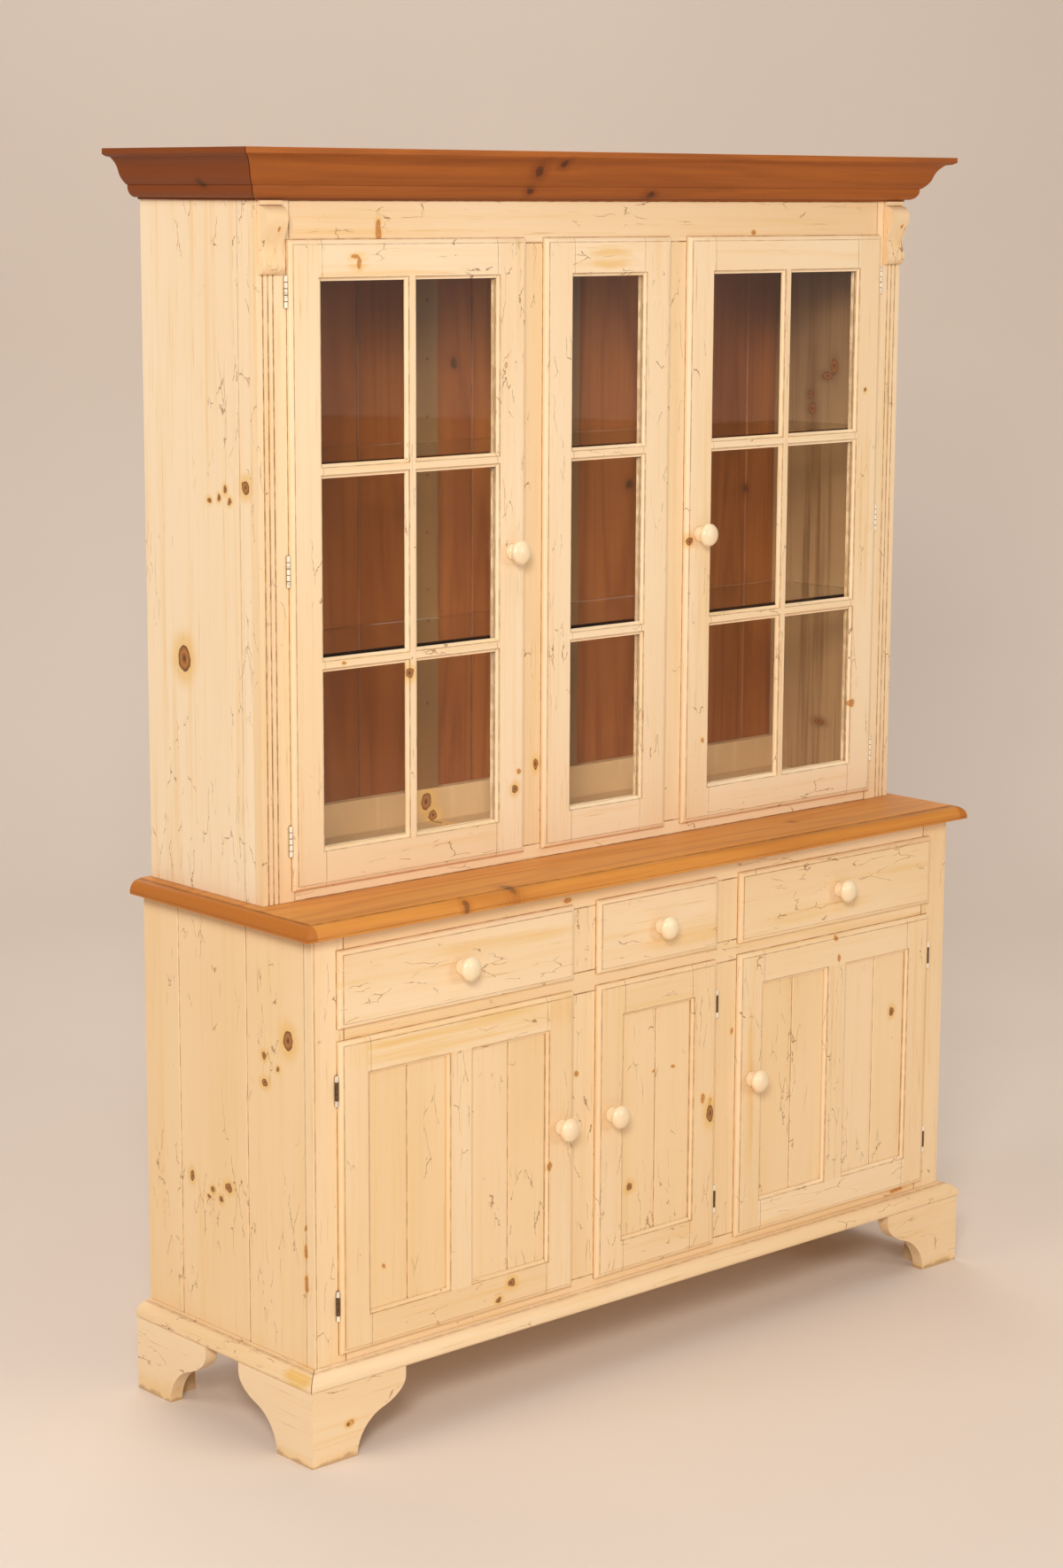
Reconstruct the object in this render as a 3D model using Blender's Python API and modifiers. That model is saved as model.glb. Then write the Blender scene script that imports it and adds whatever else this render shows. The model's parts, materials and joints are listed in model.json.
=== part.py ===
"""China cabinet: a glazed hutch that stands on a cupboard base with three drawers.

Units are metres and +Z is up. The front faces -Y, the floor is Z = 0, and the origin lies
under the middle of the bounding box. In the cabinet's own frame, which the pieces are
modelled in, X = 0 is the middle and Y = 0 is the front of the base's face frame.
"""

import math

import bmesh
import bpy
from mathutils import Matrix, Vector
from mathutils.geometry import interpolate_bezier

# Heights of the front, from the floor up
FOOT_HEIGHT = 0.1295
BOTTOM_REVEAL = 0.0405
LOWER_DOOR_HEIGHT = 0.528
MIDDLE_REVEAL = 0.0215
DRAWER_FRONT_HEIGHT = 0.129
TOP_REVEAL = 0.028
HUTCH_BOTTOM_REVEAL = 0.0175
UPPER_DOOR_HEIGHT = 1.0485
FRIEZE_REVEAL = 0.061

# Widths of the fronts and of what shows between them
BASE_SIDE_REVEAL = 0.0505
WIDE_FRONT_WIDTH = 0.5125
NARROW_FRONT_WIDTH = 0.291
FRONT_SPACING = 0.0565
HUTCH_STEP_IN = 0.0125
HUTCH_SIDE_REVEAL = 0.059
LIGHT_WIDTH = 0.296
LIGHT_SPACING = 0.044

# Depths
BASE_DEPTH = 0.459
HUTCH_DEPTH = 0.3105
HUTCH_BACK_STEP = 0.007

# Boards of the carcasses
BOARD = 0.019
FACE_FRAME = 0.019
BASE_BACK = 0.006
RUNNER_BOARD = 0.012
GUIDE_HEIGHT = 0.02
HUTCH_PLANK = 0.012
BATTEN_WIDTH = 0.05
BATTEN_THICKNESS = 0.019
BACK_RAIL_HEIGHT = 0.0595

# Grooves between planks, the flutes beside the glazed doors and the beads of the base
SIDE_GROOVES = (0.174, 0.362)
BACK_PLANKS = (0.1715, 0.25, 0.263, 0.239, 0.236, 0.229)
GROOVE_DEPTH = 0.0025
FLUTE_RADIUS = 0.0015
FLUTE_INSET = 0.0225
FLUTE_PITCH = 0.0101
FLUTES = 3
BEAD_WIDTH = 0.005
BEAD_QUIRK = 0.0012

# Doors, drawer fronts and the fixed light, which lap over the frame's front
FRONT_THICKNESS = 0.019
FRONT_PROUD = 0.0095
LAP = 0.007
REBATE_CLEARANCE = 0.0015
LIP_EDGE = 0.004
LIP_MOULD = 0.0075
LIP_QUIRK = 0.0012
LOWER_MEMBER = 0.063
LOWER_MUNTIN = 0.057
UPPER_MEMBER = 0.065
UPPER_MUNTIN = 0.024
UPPER_BAR = 0.023
SASH_MOULD = 0.0055
PANEL_RECESS = 0.008
PANEL_GROOVE = 0.008
PLANK_PANEL = 0.006
GLASS_PANE = 0.003

# Drawer boxes
DRAWER_SIDE = 0.012
DRAWER_BOTTOM = 0.006
DRAWER_SIDE_CLEARANCE = 0.002
DRAWER_TOP_CLEARANCE = 0.006
DRAWER_BACK_CLEARANCE = 0.0435

# Knobs
KNOB_DIAMETER = 0.041
KNOB_PROJECTION = 0.034
KNOB_HEAD_DEPTH = 0.021
KNOB_NECK_RADIUS = 0.0085
KNOB_FOOT_RADIUS = 0.0135
KNOB_FOOT_DEPTH = 0.004
KNOB_SIDES = 16
LOWER_KNOB_RAISE = 0.03

# Butt hinges
HINGE_LENGTH = 0.051
HINGE_BARREL_RADIUS = 0.003
HINGE_STANDOFF = 0.0035
HINGE_LEAF = 0.0012
HINGE_NECK = 0.003
HINGE_KNUCKLE = 0.012
HINGE_CUT = 0.0005
HINGE_SIDES = 12
HINGE_TOP_INSET = 0.081
HINGE_BOTTOM_INSET = 0.0835

# Glass shelves and their pins
SHELF_THICKNESS = 0.006
SHELF_SETBACK = 0.02
SHELF_RISE = 0.004
SHELF_CLEARANCE = 0.0015
PIN_RADIUS = 0.003
PIN_BEARING = 0.01
PIN_ROOT = 0.004
PIN_EDGE_DISTANCE = 0.035

# Countertop with its moulded edge
COUNTER_OVERHANG = 0.028
COUNTER_EDGE = 0.0045
COUNTER_OVOLO_HEIGHT = 0.0195
COUNTER_OVOLO_WIDTH = 0.0195
COUNTER_LEDGE = 0.0012
COUNTER_ARRIS = 0.0015

# Moulding round the foot of the base
MOULDING_PROJECTION = 0.032
MOULDING_FILLET = 0.002
MOULDING_FILLET_INSET = 0.002
MOULDING_BAND = 0.003
MOULDING_OVOLO_HEIGHT = 0.0195
MOULDING_OVOLO_WIDTH = 0.024
MOULDING_TOP = 0.002

# Bracket feet
FOOT_OVERHANG = 0.029
FOOT_BOARD = 0.025
FOOT_LENGTH = 0.198
FOOT_TIP = 0.0945
FOOT_LOBE_HEIGHT = 0.113
FOOT_WAIST = (0.15, 0.0708)
FOOT_WAIST_SLOPE = 0.3
FOOT_BLOCK = 0.045

# Cornice, from its base up, as (projection, height above the hutch)
CORNICE_FILLET = (0.0045, 0.0033)
CORNICE_OVOLO_BOTTOM = (0.0085, 0.0033)
CORNICE_OVOLO_TOP = (0.0245, 0.0201)
CORNICE_STEP = (0.0265, 0.0235)
CORNICE_OGEE_TOP = (0.0575, 0.0668)
CORNICE_OGEE_HANDLE = (0.0227, 0.0182)
CORNICE_LIP = (0.066, 0.068)
CORNICE_NOSE = (0.073, 0.0715)
CORNICE_HEIGHT = 0.081
CORNICE_FLOOR = 0.012
CORNICE_WALL = 0.018
CORNICE_SEAT = 0.012

# Corbels under the cornice, as (projection, depth below their top)
CORBEL_WIDTH = 0.0435
CORBEL_HEIGHT = 0.115
CORBEL_INSET = 0.003
CORBEL_CAP = (0.008, 0.007)
CORBEL_QUIRK = (0.006, 0.008)
CORBEL_LOBE = (0.024, 0.026)
CORBEL_WAIST = (0.0085, 0.078)
CORBEL_CURL = (0.014, 0.1)
CORBEL_TAIL = 0.002

# Gap between touching pieces, how far a cutter runs past what it cuts, and curve fineness
GAP = 0.0003
PAST = 0.01
CURVE_STEPS = 4

# Levels and widths that follow from the values above
MOULDING_HEIGHT = MOULDING_FILLET + MOULDING_BAND + MOULDING_OVOLO_HEIGHT + MOULDING_TOP
COUNTER_THICKNESS = COUNTER_EDGE + COUNTER_OVOLO_HEIGHT + COUNTER_ARRIS

LOWER_DOOR_BOTTOM = FOOT_HEIGHT + BOTTOM_REVEAL
LOWER_DOOR_TOP = LOWER_DOOR_BOTTOM + LOWER_DOOR_HEIGHT
DRAWER_FRONT_BOTTOM = LOWER_DOOR_TOP + MIDDLE_REVEAL
DRAWER_FRONT_TOP = DRAWER_FRONT_BOTTOM + DRAWER_FRONT_HEIGHT
BASE_TOP = DRAWER_FRONT_TOP + TOP_REVEAL
COUNTER_TOP = BASE_TOP + COUNTER_THICKNESS
UPPER_DOOR_BOTTOM = COUNTER_TOP + HUTCH_BOTTOM_REVEAL
UPPER_DOOR_TOP = UPPER_DOOR_BOTTOM + UPPER_DOOR_HEIGHT
HUTCH_TOP = UPPER_DOOR_TOP + FRIEZE_REVEAL
CABINET_TOP = HUTCH_TOP + CORNICE_HEIGHT
DECK_TOP = UPPER_DOOR_BOTTOM + LAP
DECK_BOTTOM = DECK_TOP - BOARD
RUNNER_TOP = DRAWER_FRONT_BOTTOM + LAP

BASE_HALF = WIDE_FRONT_WIDTH + FRONT_SPACING + NARROW_FRONT_WIDTH / 2 + BASE_SIDE_REVEAL
HUTCH_HALF = BASE_HALF - HUTCH_STEP_IN
UPPER_DOOR_WIDTH = HUTCH_HALF - HUTCH_SIDE_REVEAL - LIGHT_SPACING - LIGHT_WIDTH / 2
MULLION_X = (LIGHT_WIDTH + LIGHT_SPACING) / 2
HUTCH_BACK = BASE_DEPTH - HUTCH_BACK_STEP
HUTCH_SETBACK = HUTCH_BACK - HUTCH_DEPTH
PLANK_FRONT = HUTCH_BACK - HUTCH_PLANK
BATTEN_FRONT = PLANK_FRONT - GAP - BATTEN_THICKNESS
FRONTMOST = -FRONT_PROUD - 2 * GAP - KNOB_PROJECTION
MIDDLE_Y = (FRONTMOST + BASE_DEPTH) / 2

POSITIONS = ("left", "centre", "right")
SIDES = {"left": -1, "right": 1}

# Turns a section drawn in XY, with Z as its thickness, to stand facing the front
FACING_FRONT = Matrix.Rotation(math.pi / 2, 4, "X")
# Turns a profile drawn as (projection, height) to point to the front, its thickness along X
FROM_THE_SIDE = Matrix(((0, 0, -1, 0), (-1, 0, 0, 0), (0, 1, 0, 0), (0, 0, 0, 1)))


# Scene, collections and materials


def clear_scene():
    for obj in list(bpy.data.objects):
        bpy.data.objects.remove(obj)


def new_collection(name):
    collection = bpy.data.collections.new(name)
    bpy.context.scene.collection.children.link(collection)
    return collection


clear_scene()
PIECES = new_collection("china_cabinet")
CUTTERS = new_collection("cutters")


def material(name, colour, roughness, metallic=0.0, transmission=0.0):
    made = bpy.data.materials.new(name)
    made.use_nodes = True
    shader = made.node_tree.nodes["Principled BSDF"]
    shader.inputs["Base Color"].default_value = (*colour, 1)
    shader.inputs["Roughness"].default_value = roughness
    shader.inputs["Metallic"].default_value = metallic
    shader.inputs["Transmission Weight"].default_value = transmission
    return made


CREAM_PAINT = material("cream_paint", (0.83, 0.66, 0.42), 0.5)
WHITE_PAINT = material("white_paint", (0.62, 0.5, 0.36), 0.55)
HONEY_PINE = material("honey_pine", (0.45, 0.17, 0.04), 0.4)
BROWN_PINE = material("brown_pine", (0.13, 0.045, 0.02), 0.55)
RAW_PINE = material("raw_pine", (0.6, 0.42, 0.24), 0.6)
NICKEL = material("nickel", (0.7, 0.68, 0.64), 0.3, metallic=1.0)
CLEAR_GLASS = material("clear_glass", (0.9, 0.95, 0.93), 0.03, transmission=1.0)


# Bodies and pieces


class Body:
    """Pieces that move as one, held by an empty at a point of their joint's axis."""

    def __init__(self, name, place=(0, 0, 0), carrier=None):
        self.place = Vector(place)
        self.empty = bpy.data.objects.new(name, None)
        self.empty.empty_display_size = 0.05
        PIECES.objects.link(self.empty)
        if carrier:
            self.empty.parent = carrier.empty
            self.empty.location = self.place - carrier.place
        else:
            self.empty.location = (0, -MIDDLE_Y, 0)

    def adopt(self, obj, origin):
        """Parents an object whose own origin lies at this point of the cabinet's frame."""
        obj.parent = self.empty
        obj.location = Vector(origin) - self.place
        return obj

    def add(self, name, bm, finish, origin):
        """A piece modelled in the cabinet's frame, with its origin moved to the given point."""
        obj = object_of(name, bm, PIECES, origin)
        obj.data.materials.append(finish)
        return self.adopt(obj, origin)


def object_of(name, bm, collection, origin):
    bmesh.ops.recalc_face_normals(bm, faces=bm.faces)
    bmesh.ops.translate(bm, vec=-Vector(origin), verts=bm.verts)
    mesh = bpy.data.meshes.new(name)
    bm.to_mesh(mesh)
    bm.free()
    mesh.shade_smooth()
    mesh.set_sharp_from_angle(angle=math.radians(25))
    obj = bpy.data.objects.new(name, mesh)
    collection.objects.link(obj)
    return obj


def combine(obj, bm, operation):
    """Cuts a mesh, modelled in the cabinet's frame, from a piece, or joins it to the piece."""
    carrier = obj.parent
    origin = obj.location.copy()
    while carrier.parent:
        origin += carrier.location
        carrier = carrier.parent
    other = object_of(obj.name + "_" + operation.lower(), bm, CUTTERS, origin)
    other.parent = obj.parent
    other.location = obj.location
    other.hide_render = True
    other.display_type = "WIRE"
    modifier = obj.modifiers.new(operation.lower(), "BOOLEAN")
    modifier.operation = operation
    modifier.solver = "EXACT"
    modifier.object = other
    return obj


def cut(obj, bm):
    return combine(obj, bm, "DIFFERENCE")


def join(obj, bm):
    return combine(obj, bm, "UNION")


# Shapes


def box(bm, x0, x1, y0, y1, z0, z1):
    place = Matrix.Translation(((x0 + x1) / 2, (y0 + y1) / 2, (z0 + z1) / 2))
    size = Matrix.Diagonal((x1 - x0, y1 - y0, z1 - z0, 1))
    bmesh.ops.create_cube(bm, size=1, matrix=place @ size)


def boxes(*corners):
    bm = bmesh.new()
    for corner in corners:
        box(bm, *corner)
    return bm


def vee(bm, x, y, bottom, top):
    """A square bar standing on its edge, which cuts an upright V-groove."""
    side = GROOVE_DEPTH * math.sqrt(2)
    place = Matrix.Translation((x, y, (bottom + top) / 2)) @ Matrix.Rotation(math.pi / 4, 4, "Z")
    size = Matrix.Diagonal((side, side, top - bottom, 1))
    bmesh.ops.create_cube(bm, size=1, matrix=place @ size)


def rod(bm, start, end, radius):
    """An eight-sided rod from one point to another."""
    start = Vector(start)
    way = Vector(end) - start
    turn = way.to_track_quat("Z", "Y").to_matrix().to_4x4()
    bmesh.ops.create_cone(
        bm,
        cap_ends=True,
        segments=8,
        radius1=radius,
        radius2=radius,
        depth=way.length,
        matrix=Matrix.Translation(start + way / 2) @ turn,
    )


def set_section(verts, section):
    """Moves the four corners of a level rectangle to (x0, x1, y0, y1) at height z."""
    x0, x1, y0, y1, z = section
    middle = sum((vert.co for vert in verts), Vector()) / 4
    for vert in verts:
        vert.co.x = x0 if vert.co.x < middle.x else x1
        vert.co.y = y0 if vert.co.y < middle.y else y1
        vert.co.z = z


def stack(bm, sections):
    """A cube drawn out upwards through rectangular sections, the lowest first."""
    start = len(bm.verts)
    bmesh.ops.create_cube(bm, size=1)
    bm.verts.ensure_lookup_table()
    corners = bm.verts[start:]
    lower = [vert for vert in corners if vert.co.z < 0]
    upper = [vert for vert in corners if vert.co.z > 0]
    face = next(f for f in upper[0].link_faces if all(v in upper for v in f.verts))
    set_section(lower, sections[0])
    set_section(upper, sections[1])
    for section in sections[2:]:
        face = bmesh.ops.extrude_discrete_faces(bm, faces=[face])["faces"][0]
        set_section(face.verts[:], section)


def front_stack(steps):
    """A slab facing the front, drawn forward through outlines: steps of (outline, Y)."""
    bm = bmesh.new()
    stack(bm, [(*outline, -y) for outline, y in steps])
    bm.transform(FACING_FRONT)
    return bm


def plate(points, thickness):
    """A flat outline in XY, its thickness along Z and half to each side of Z = 0."""
    curve = bpy.data.curves.new("outline", "CURVE")
    curve.dimensions = "2D"
    curve.fill_mode = "BOTH"
    curve.extrude = thickness / 2
    spline = curve.splines.new("POLY")
    spline.points.add(len(points) - 1)
    for corner, (x, y) in zip(spline.points, points):
        corner.co = (x, y, 0, 1)
    spline.use_cyclic_u = True
    guide = bpy.data.objects.new("outline", curve)
    CUTTERS.objects.link(guide)
    graph = bpy.context.evaluated_depsgraph_get()
    mesh = bpy.data.meshes.new_from_object(guide.evaluated_get(graph))
    bm = bmesh.new()
    bm.from_mesh(mesh)
    bmesh.ops.remove_doubles(bm, verts=bm.verts, dist=1e-6)
    bpy.data.objects.remove(guide)
    bpy.data.curves.remove(curve)
    bpy.data.meshes.remove(mesh)
    return bm


def quarter(start, end):
    """Points of a quarter round that leaves its start along the second coordinate."""
    points = []
    for step in range(CURVE_STEPS + 1):
        turn = math.pi / 2 * step / CURVE_STEPS
        across = start[0] + (end[0] - start[0]) * (1 - math.cos(turn))
        along = start[1] + (end[1] - start[1]) * math.sin(turn)
        points.append((across, along))
    return points


def bezier(start, first_handle, second_handle, end):
    ends = [Vector(point).to_3d() for point in (start, first_handle, second_handle, end)]
    return [tuple(point.xy) for point in interpolate_bezier(*ends, 2 * CURVE_STEPS)]


def inset(outline, amount):
    """An outline (left, right, bottom, top) drawn in by an amount on every side."""
    left, right, bottom, top = outline
    return (left + amount, right - amount, bottom + amount, top - amount)


def outlines(widths, spacing, bottom, top):
    """Outlines of fronts in a row, a space apart and centred on X = 0, by their position."""
    left = -(sum(widths) + spacing * (len(widths) - 1)) / 2
    found = {}
    for position, width in zip(POSITIONS, widths):
        found[position] = (left, left + width, bottom, top)
        left += width + spacing
    return found


BASE_WIDTHS = (WIDE_FRONT_WIDTH, NARROW_FRONT_WIDTH, WIDE_FRONT_WIDTH)
HUTCH_WIDTHS = (UPPER_DOOR_WIDTH, LIGHT_WIDTH, UPPER_DOOR_WIDTH)
LOWER_DOORS = outlines(BASE_WIDTHS, FRONT_SPACING, LOWER_DOOR_BOTTOM, LOWER_DOOR_TOP)
DRAWERS = outlines(BASE_WIDTHS, FRONT_SPACING, DRAWER_FRONT_BOTTOM, DRAWER_FRONT_TOP)
UPPER_FRONTS = outlines(HUTCH_WIDTHS, LIGHT_SPACING, UPPER_DOOR_BOTTOM, UPPER_DOOR_TOP)

# The side each door hangs on
LOWER_HINGE_SIDES = {"left": -1, "centre": 1, "right": 1}
UPPER_HINGE_SIDES = SIDES


# Hinges


def hinge_axis(outline, side, frame_front):
    """X and Y of the upright axis of a door's hinges, beside its lip on the given side."""
    edge = outline[0] if side < 0 else outline[1]
    return edge + side * HINGE_STANDOFF, frame_front - HINGE_STANDOFF


def hinge_heights(outline, with_middle):
    bottom, top = outline[2:]
    heights = {"top": top - HINGE_TOP_INSET, "bottom": bottom + HINGE_BOTTOM_INSET}
    if with_middle:
        heights["middle"] = (bottom + top) / 2
    return heights


def hinge_pocket(outline, side, frame_front, height):
    """Corners of the recess in the face frame that a hinge's leaf lies in."""
    axis_x, _ = hinge_axis(outline, side, frame_front)
    outer = axis_x + side * (HINGE_NECK / 2 + GAP)
    inner = axis_x - side * (HINGE_STANDOFF + LAP + PAST)
    half = HINGE_LENGTH / 2 + GAP
    x0, x1 = sorted((outer, inner))
    y1 = frame_front + 2 * GAP + HINGE_LEAF
    return (x0, x1, frame_front - PAST, y1, height - half, height + half)


def barrel_mesh():
    """Half section of the barrel, with a cut on each side of its middle knuckle."""
    radius = HINGE_BARREL_RADIUS
    half = HINGE_LENGTH / 2
    profile = [(0, half), (radius, half)]
    for level in (half - HINGE_KNUCKLE, HINGE_KNUCKLE - half):
        profile += [(radius, level + HINGE_CUT), (radius - HINGE_CUT, level)]
        profile += [(radius, level - HINGE_CUT)]
    profile += [(radius, -half), (0, -half)]
    return profile_mesh("hinge_barrel", profile, NICKEL)


def profile_mesh(name, profile, finish):
    """A line of (radius, height) points in XZ, top to bottom, for a Screw to turn."""
    mesh = bpy.data.meshes.new(name)
    mesh.from_pydata(
        [(radius, 0, height) for radius, height in profile],
        [(step, step + 1) for step in range(len(profile) - 1)],
        [],
    )
    mesh.materials.append(finish)
    return mesh


def turn_profile(obj, sides):
    screw = obj.modifiers.new("turned", "SCREW")
    screw.steps = sides
    screw.render_steps = sides
    screw.use_merge_vertices = True
    screw.merge_threshold = 0.00001
    screw.use_smooth_shade = True


def add_hinge(carcass, name, barrel, outline, side, frame_front, height):
    """A barrel on its axis, joined by a neck to the leaf let into the face frame."""
    axis_x, axis_y = hinge_axis(outline, side, frame_front)
    obj = bpy.data.objects.new(name, barrel)
    PIECES.objects.link(obj)
    carcass.adopt(obj, (axis_x, axis_y, height))
    turn_profile(obj, HINGE_SIDES)
    neck = HINGE_NECK / 2
    leaf_front = HINGE_STANDOFF + GAP
    leaf_back = leaf_front + HINGE_LEAF
    reach = HINGE_STANDOFF + LAP - GAP
    outline_points = [(neck, 0), (neck, leaf_back), (-reach, leaf_back), (-reach, leaf_front)]
    outline_points += [(-neck, leaf_front), (-neck, 0)]
    leaf = plate([(x * side, y) for x, y in outline_points], HINGE_LENGTH)
    leaf.transform(Matrix.Translation((axis_x, axis_y, height)))
    join(obj, leaf)


# Face frames


def face_frame(carcass, name, half_width, front, bottom, top, fronts, hinged):
    """A board with an opening behind each front and a pocket behind each hinge."""
    frame_box = (-half_width, half_width, front, front + FACE_FRAME, bottom, top)
    obj = carcass.add(name, boxes(frame_box), CREAM_PAINT, (0, front, bottom))
    openings = bmesh.new()
    for outline in fronts:
        left, right, low, high = inset(outline, LAP)
        box(openings, left, right, front - PAST, front + FACE_FRAME + PAST, low, high)
    cut(obj, openings)
    pockets = bmesh.new()
    for outline, side, with_middle in hinged:
        for height in hinge_heights(outline, with_middle).values():
            box(pockets, *hinge_pocket(outline, side, front, height))
    cut(obj, pockets)
    return obj


# Lipped fronts: doors, drawer fronts and the fixed light


def front_face(frame_front):
    """Y of the face of a door or drawer front whose lip lies on the frame."""
    return frame_front - GAP - FRONT_PROUD


def front_back(frame_front):
    return front_face(frame_front) + FRONT_THICKNESS


def lipped_slab(outline, frame_front):
    """A slab that laps over the frame: rebated behind, moulded round its front edge."""
    behind = inset(outline, LAP + REBATE_CLEARANCE)
    seat = frame_front - GAP
    steps = [(behind, front_back(frame_front)), (behind, seat)]
    steps += [(outline, seat)]
    edge = (0, LIP_EDGE)
    face = (LIP_MOULD, FRONT_PROUD - LIP_QUIRK)
    steps += [(inset(outline, amount), seat - rise) for amount, rise in quarter(edge, face)]
    steps += [(inset(outline, LIP_MOULD), front_face(frame_front))]
    return front_stack(steps)


def lights(outline, member, columns, rows, muntin, bar):
    """Openings of a door frame, in columns and rows between its muntins and bars."""
    left, right, bottom, top = inset(outline, member)
    wide = (right - left - muntin * (columns - 1)) / columns
    high = (top - bottom - bar * (rows - 1)) / rows
    found = []
    for column in range(columns):
        for row in range(rows):
            x = left + column * (wide + muntin)
            z = bottom + row * (high + bar)
            found.append((x, x + wide, z, z + high))
    return found


def sash_back(outline, member, frame_front, filling):
    """Cutter behind the muntins: the open back and the groove that holds the filling."""
    opening = inset(outline, member)
    groove = inset(opening, -PANEL_GROOVE)
    front = filling_front(frame_front)
    back = front + filling + 2 * GAP
    far = front_back(frame_front) + PAST
    return front_stack([(opening, far), (opening, back), (groove, back), (groove, front)])


def filling_front(frame_front):
    """Y of the ledge behind the muntins that a pane or a panel lies against."""
    return front_face(frame_front) + PANEL_RECESS


def light_cutter(opening, frame_front):
    """Cutter of one opening, flared at the front as the moulding round it."""
    face = front_face(frame_front)
    steps = [(opening, filling_front(frame_front) + GAP)]
    start = (0, SASH_MOULD)
    for amount, depth in reversed(quarter((SASH_MOULD, 0), start)):
        steps.append((inset(opening, -amount), face + depth))
    steps.append((inset(opening, -SASH_MOULD), face - PAST))
    return front_stack(steps)


def door_frame(body, name, outline, frame_front, member, openings, filling):
    """A lipped frame with its openings cut through, on a body of its own or the carcass."""
    origin = (outline[0], frame_front, outline[2])
    obj = body.add(name, lipped_slab(outline, frame_front), CREAM_PAINT, origin)
    cut(obj, sash_back(outline, member, frame_front, filling))
    flares = bmesh.new()
    for opening in openings:
        part = light_cutter(opening, frame_front)
        mesh = bpy.data.meshes.new("light")
        part.to_mesh(mesh)
        part.free()
        flares.from_mesh(mesh)
        bpy.data.meshes.remove(mesh)
    return cut(obj, flares)


def sash_filling(body, name, outline, member, frame_front, thickness, finish):
    """A pane or a panel that lies in the groove of its door frame."""
    left, right, bottom, top = inset(outline, member - PANEL_GROOVE + GAP)
    front = filling_front(frame_front) + GAP
    panel = boxes((left, right, front, front + thickness, bottom, top))
    return body.add(name, panel, finish, (left, front, bottom))


# Knobs


def knob_mesh():
    """Half section of a knob whose foot stands on Z = 0 and whose head faces up."""
    radius = KNOB_DIAMETER / 2
    half_head = KNOB_HEAD_DEPTH / 2
    middle = KNOB_PROJECTION - half_head
    profile = []
    steps = 2 * CURVE_STEPS
    for step in range(steps + 1):
        turn = math.pi / 2 - math.radians(150) * step / steps
        profile.append((radius * math.cos(turn), middle + half_head * math.sin(turn)))
    profile[0] = (0, KNOB_PROJECTION)
    foot_top = KNOB_FOOT_DEPTH + 2 * (KNOB_FOOT_RADIUS - KNOB_NECK_RADIUS) / 3
    profile.append((KNOB_NECK_RADIUS, (profile[-1][1] + foot_top) / 2))
    profile.append((KNOB_NECK_RADIUS, foot_top))
    profile.append((KNOB_FOOT_RADIUS, KNOB_FOOT_DEPTH))
    profile.append((KNOB_FOOT_RADIUS, 0))
    profile.append((0, 0))
    return profile_mesh("knob", profile, CREAM_PAINT)


def add_knob(body, name, mesh, x, z, frame_front):
    obj = bpy.data.objects.new(name, mesh)
    PIECES.objects.link(obj)
    body.adopt(obj, (x, front_face(frame_front) - GAP, z))
    obj.rotation_euler = (math.pi / 2, 0, 0)
    turn_profile(obj, KNOB_SIDES)


# Base


def add_moulded(carcass, name, finish, profile, half_width, front, back):
    """A block moulded all round by (outset, height) points, then sawn off at the back."""
    sections = []
    for outset, height in profile:
        width = half_width + outset
        sections.append((-width, width, front - outset, back + outset + PAST, height))
    bm = bmesh.new()
    stack(bm, sections)
    bottom = profile[0][1]
    obj = carcass.add(name, bm, finish, (0, front, bottom))
    top = profile[-1][1]
    widest = half_width + max(outset for outset, _ in profile)
    beyond = (-widest - PAST, widest + PAST, back, back + widest, bottom - PAST, top + PAST)
    return cut(obj, boxes(beyond))


def add_feet(carcass):
    length = FOOT_LENGTH
    block = FOOT_BOARD + FOOT_BLOCK
    front_plan = [(0, 0), (length, 0), (length, FOOT_BOARD), (block, FOOT_BOARD)]
    front_plan += [(block, block), (FOOT_BOARD, block), (FOOT_BOARD, length), (0, length)]
    rear_plan = [(0, 0), (block, 0), (block, block), (FOOT_BOARD, block)]
    rear_plan += [(FOOT_BOARD, length), (0, length)]
    for name, side in SIDES.items():
        outer = side * (BASE_HALF + FOOT_OVERHANG)
        corner = Matrix.Translation((outer, -FOOT_OVERHANG, 0)) @ Matrix.Diagonal((-side, 1, 1, 1))
        add_foot(carcass, "foot_front_" + name, front_plan, corner, True)
        corner = Matrix.Translation((outer, BASE_DEPTH, 0)) @ Matrix.Diagonal((-side, -1, 1, 1))
        add_foot(carcass, "foot_rear_" + name, rear_plan, corner, False)


def add_foot(carcass, name, plan, corner, has_front_board):
    """A bracket foot drawn from its outer corner: boards with an inner block, sawn to shape."""
    height = FOOT_HEIGHT - GAP
    foot = plate(plan, height)
    foot.transform(corner @ Matrix.Translation((0, 0, height / 2)))
    obj = carcass.add(name, foot, CREAM_PAINT, corner.translation)
    side_saw = foot_saw()
    side_saw.transform(corner @ Matrix.Rotation(math.pi / 2, 4, "Z"))
    cut(obj, side_saw)
    if has_front_board:
        front_saw = foot_saw()
        front_saw.transform(corner)
        cut(obj, front_saw)


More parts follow.
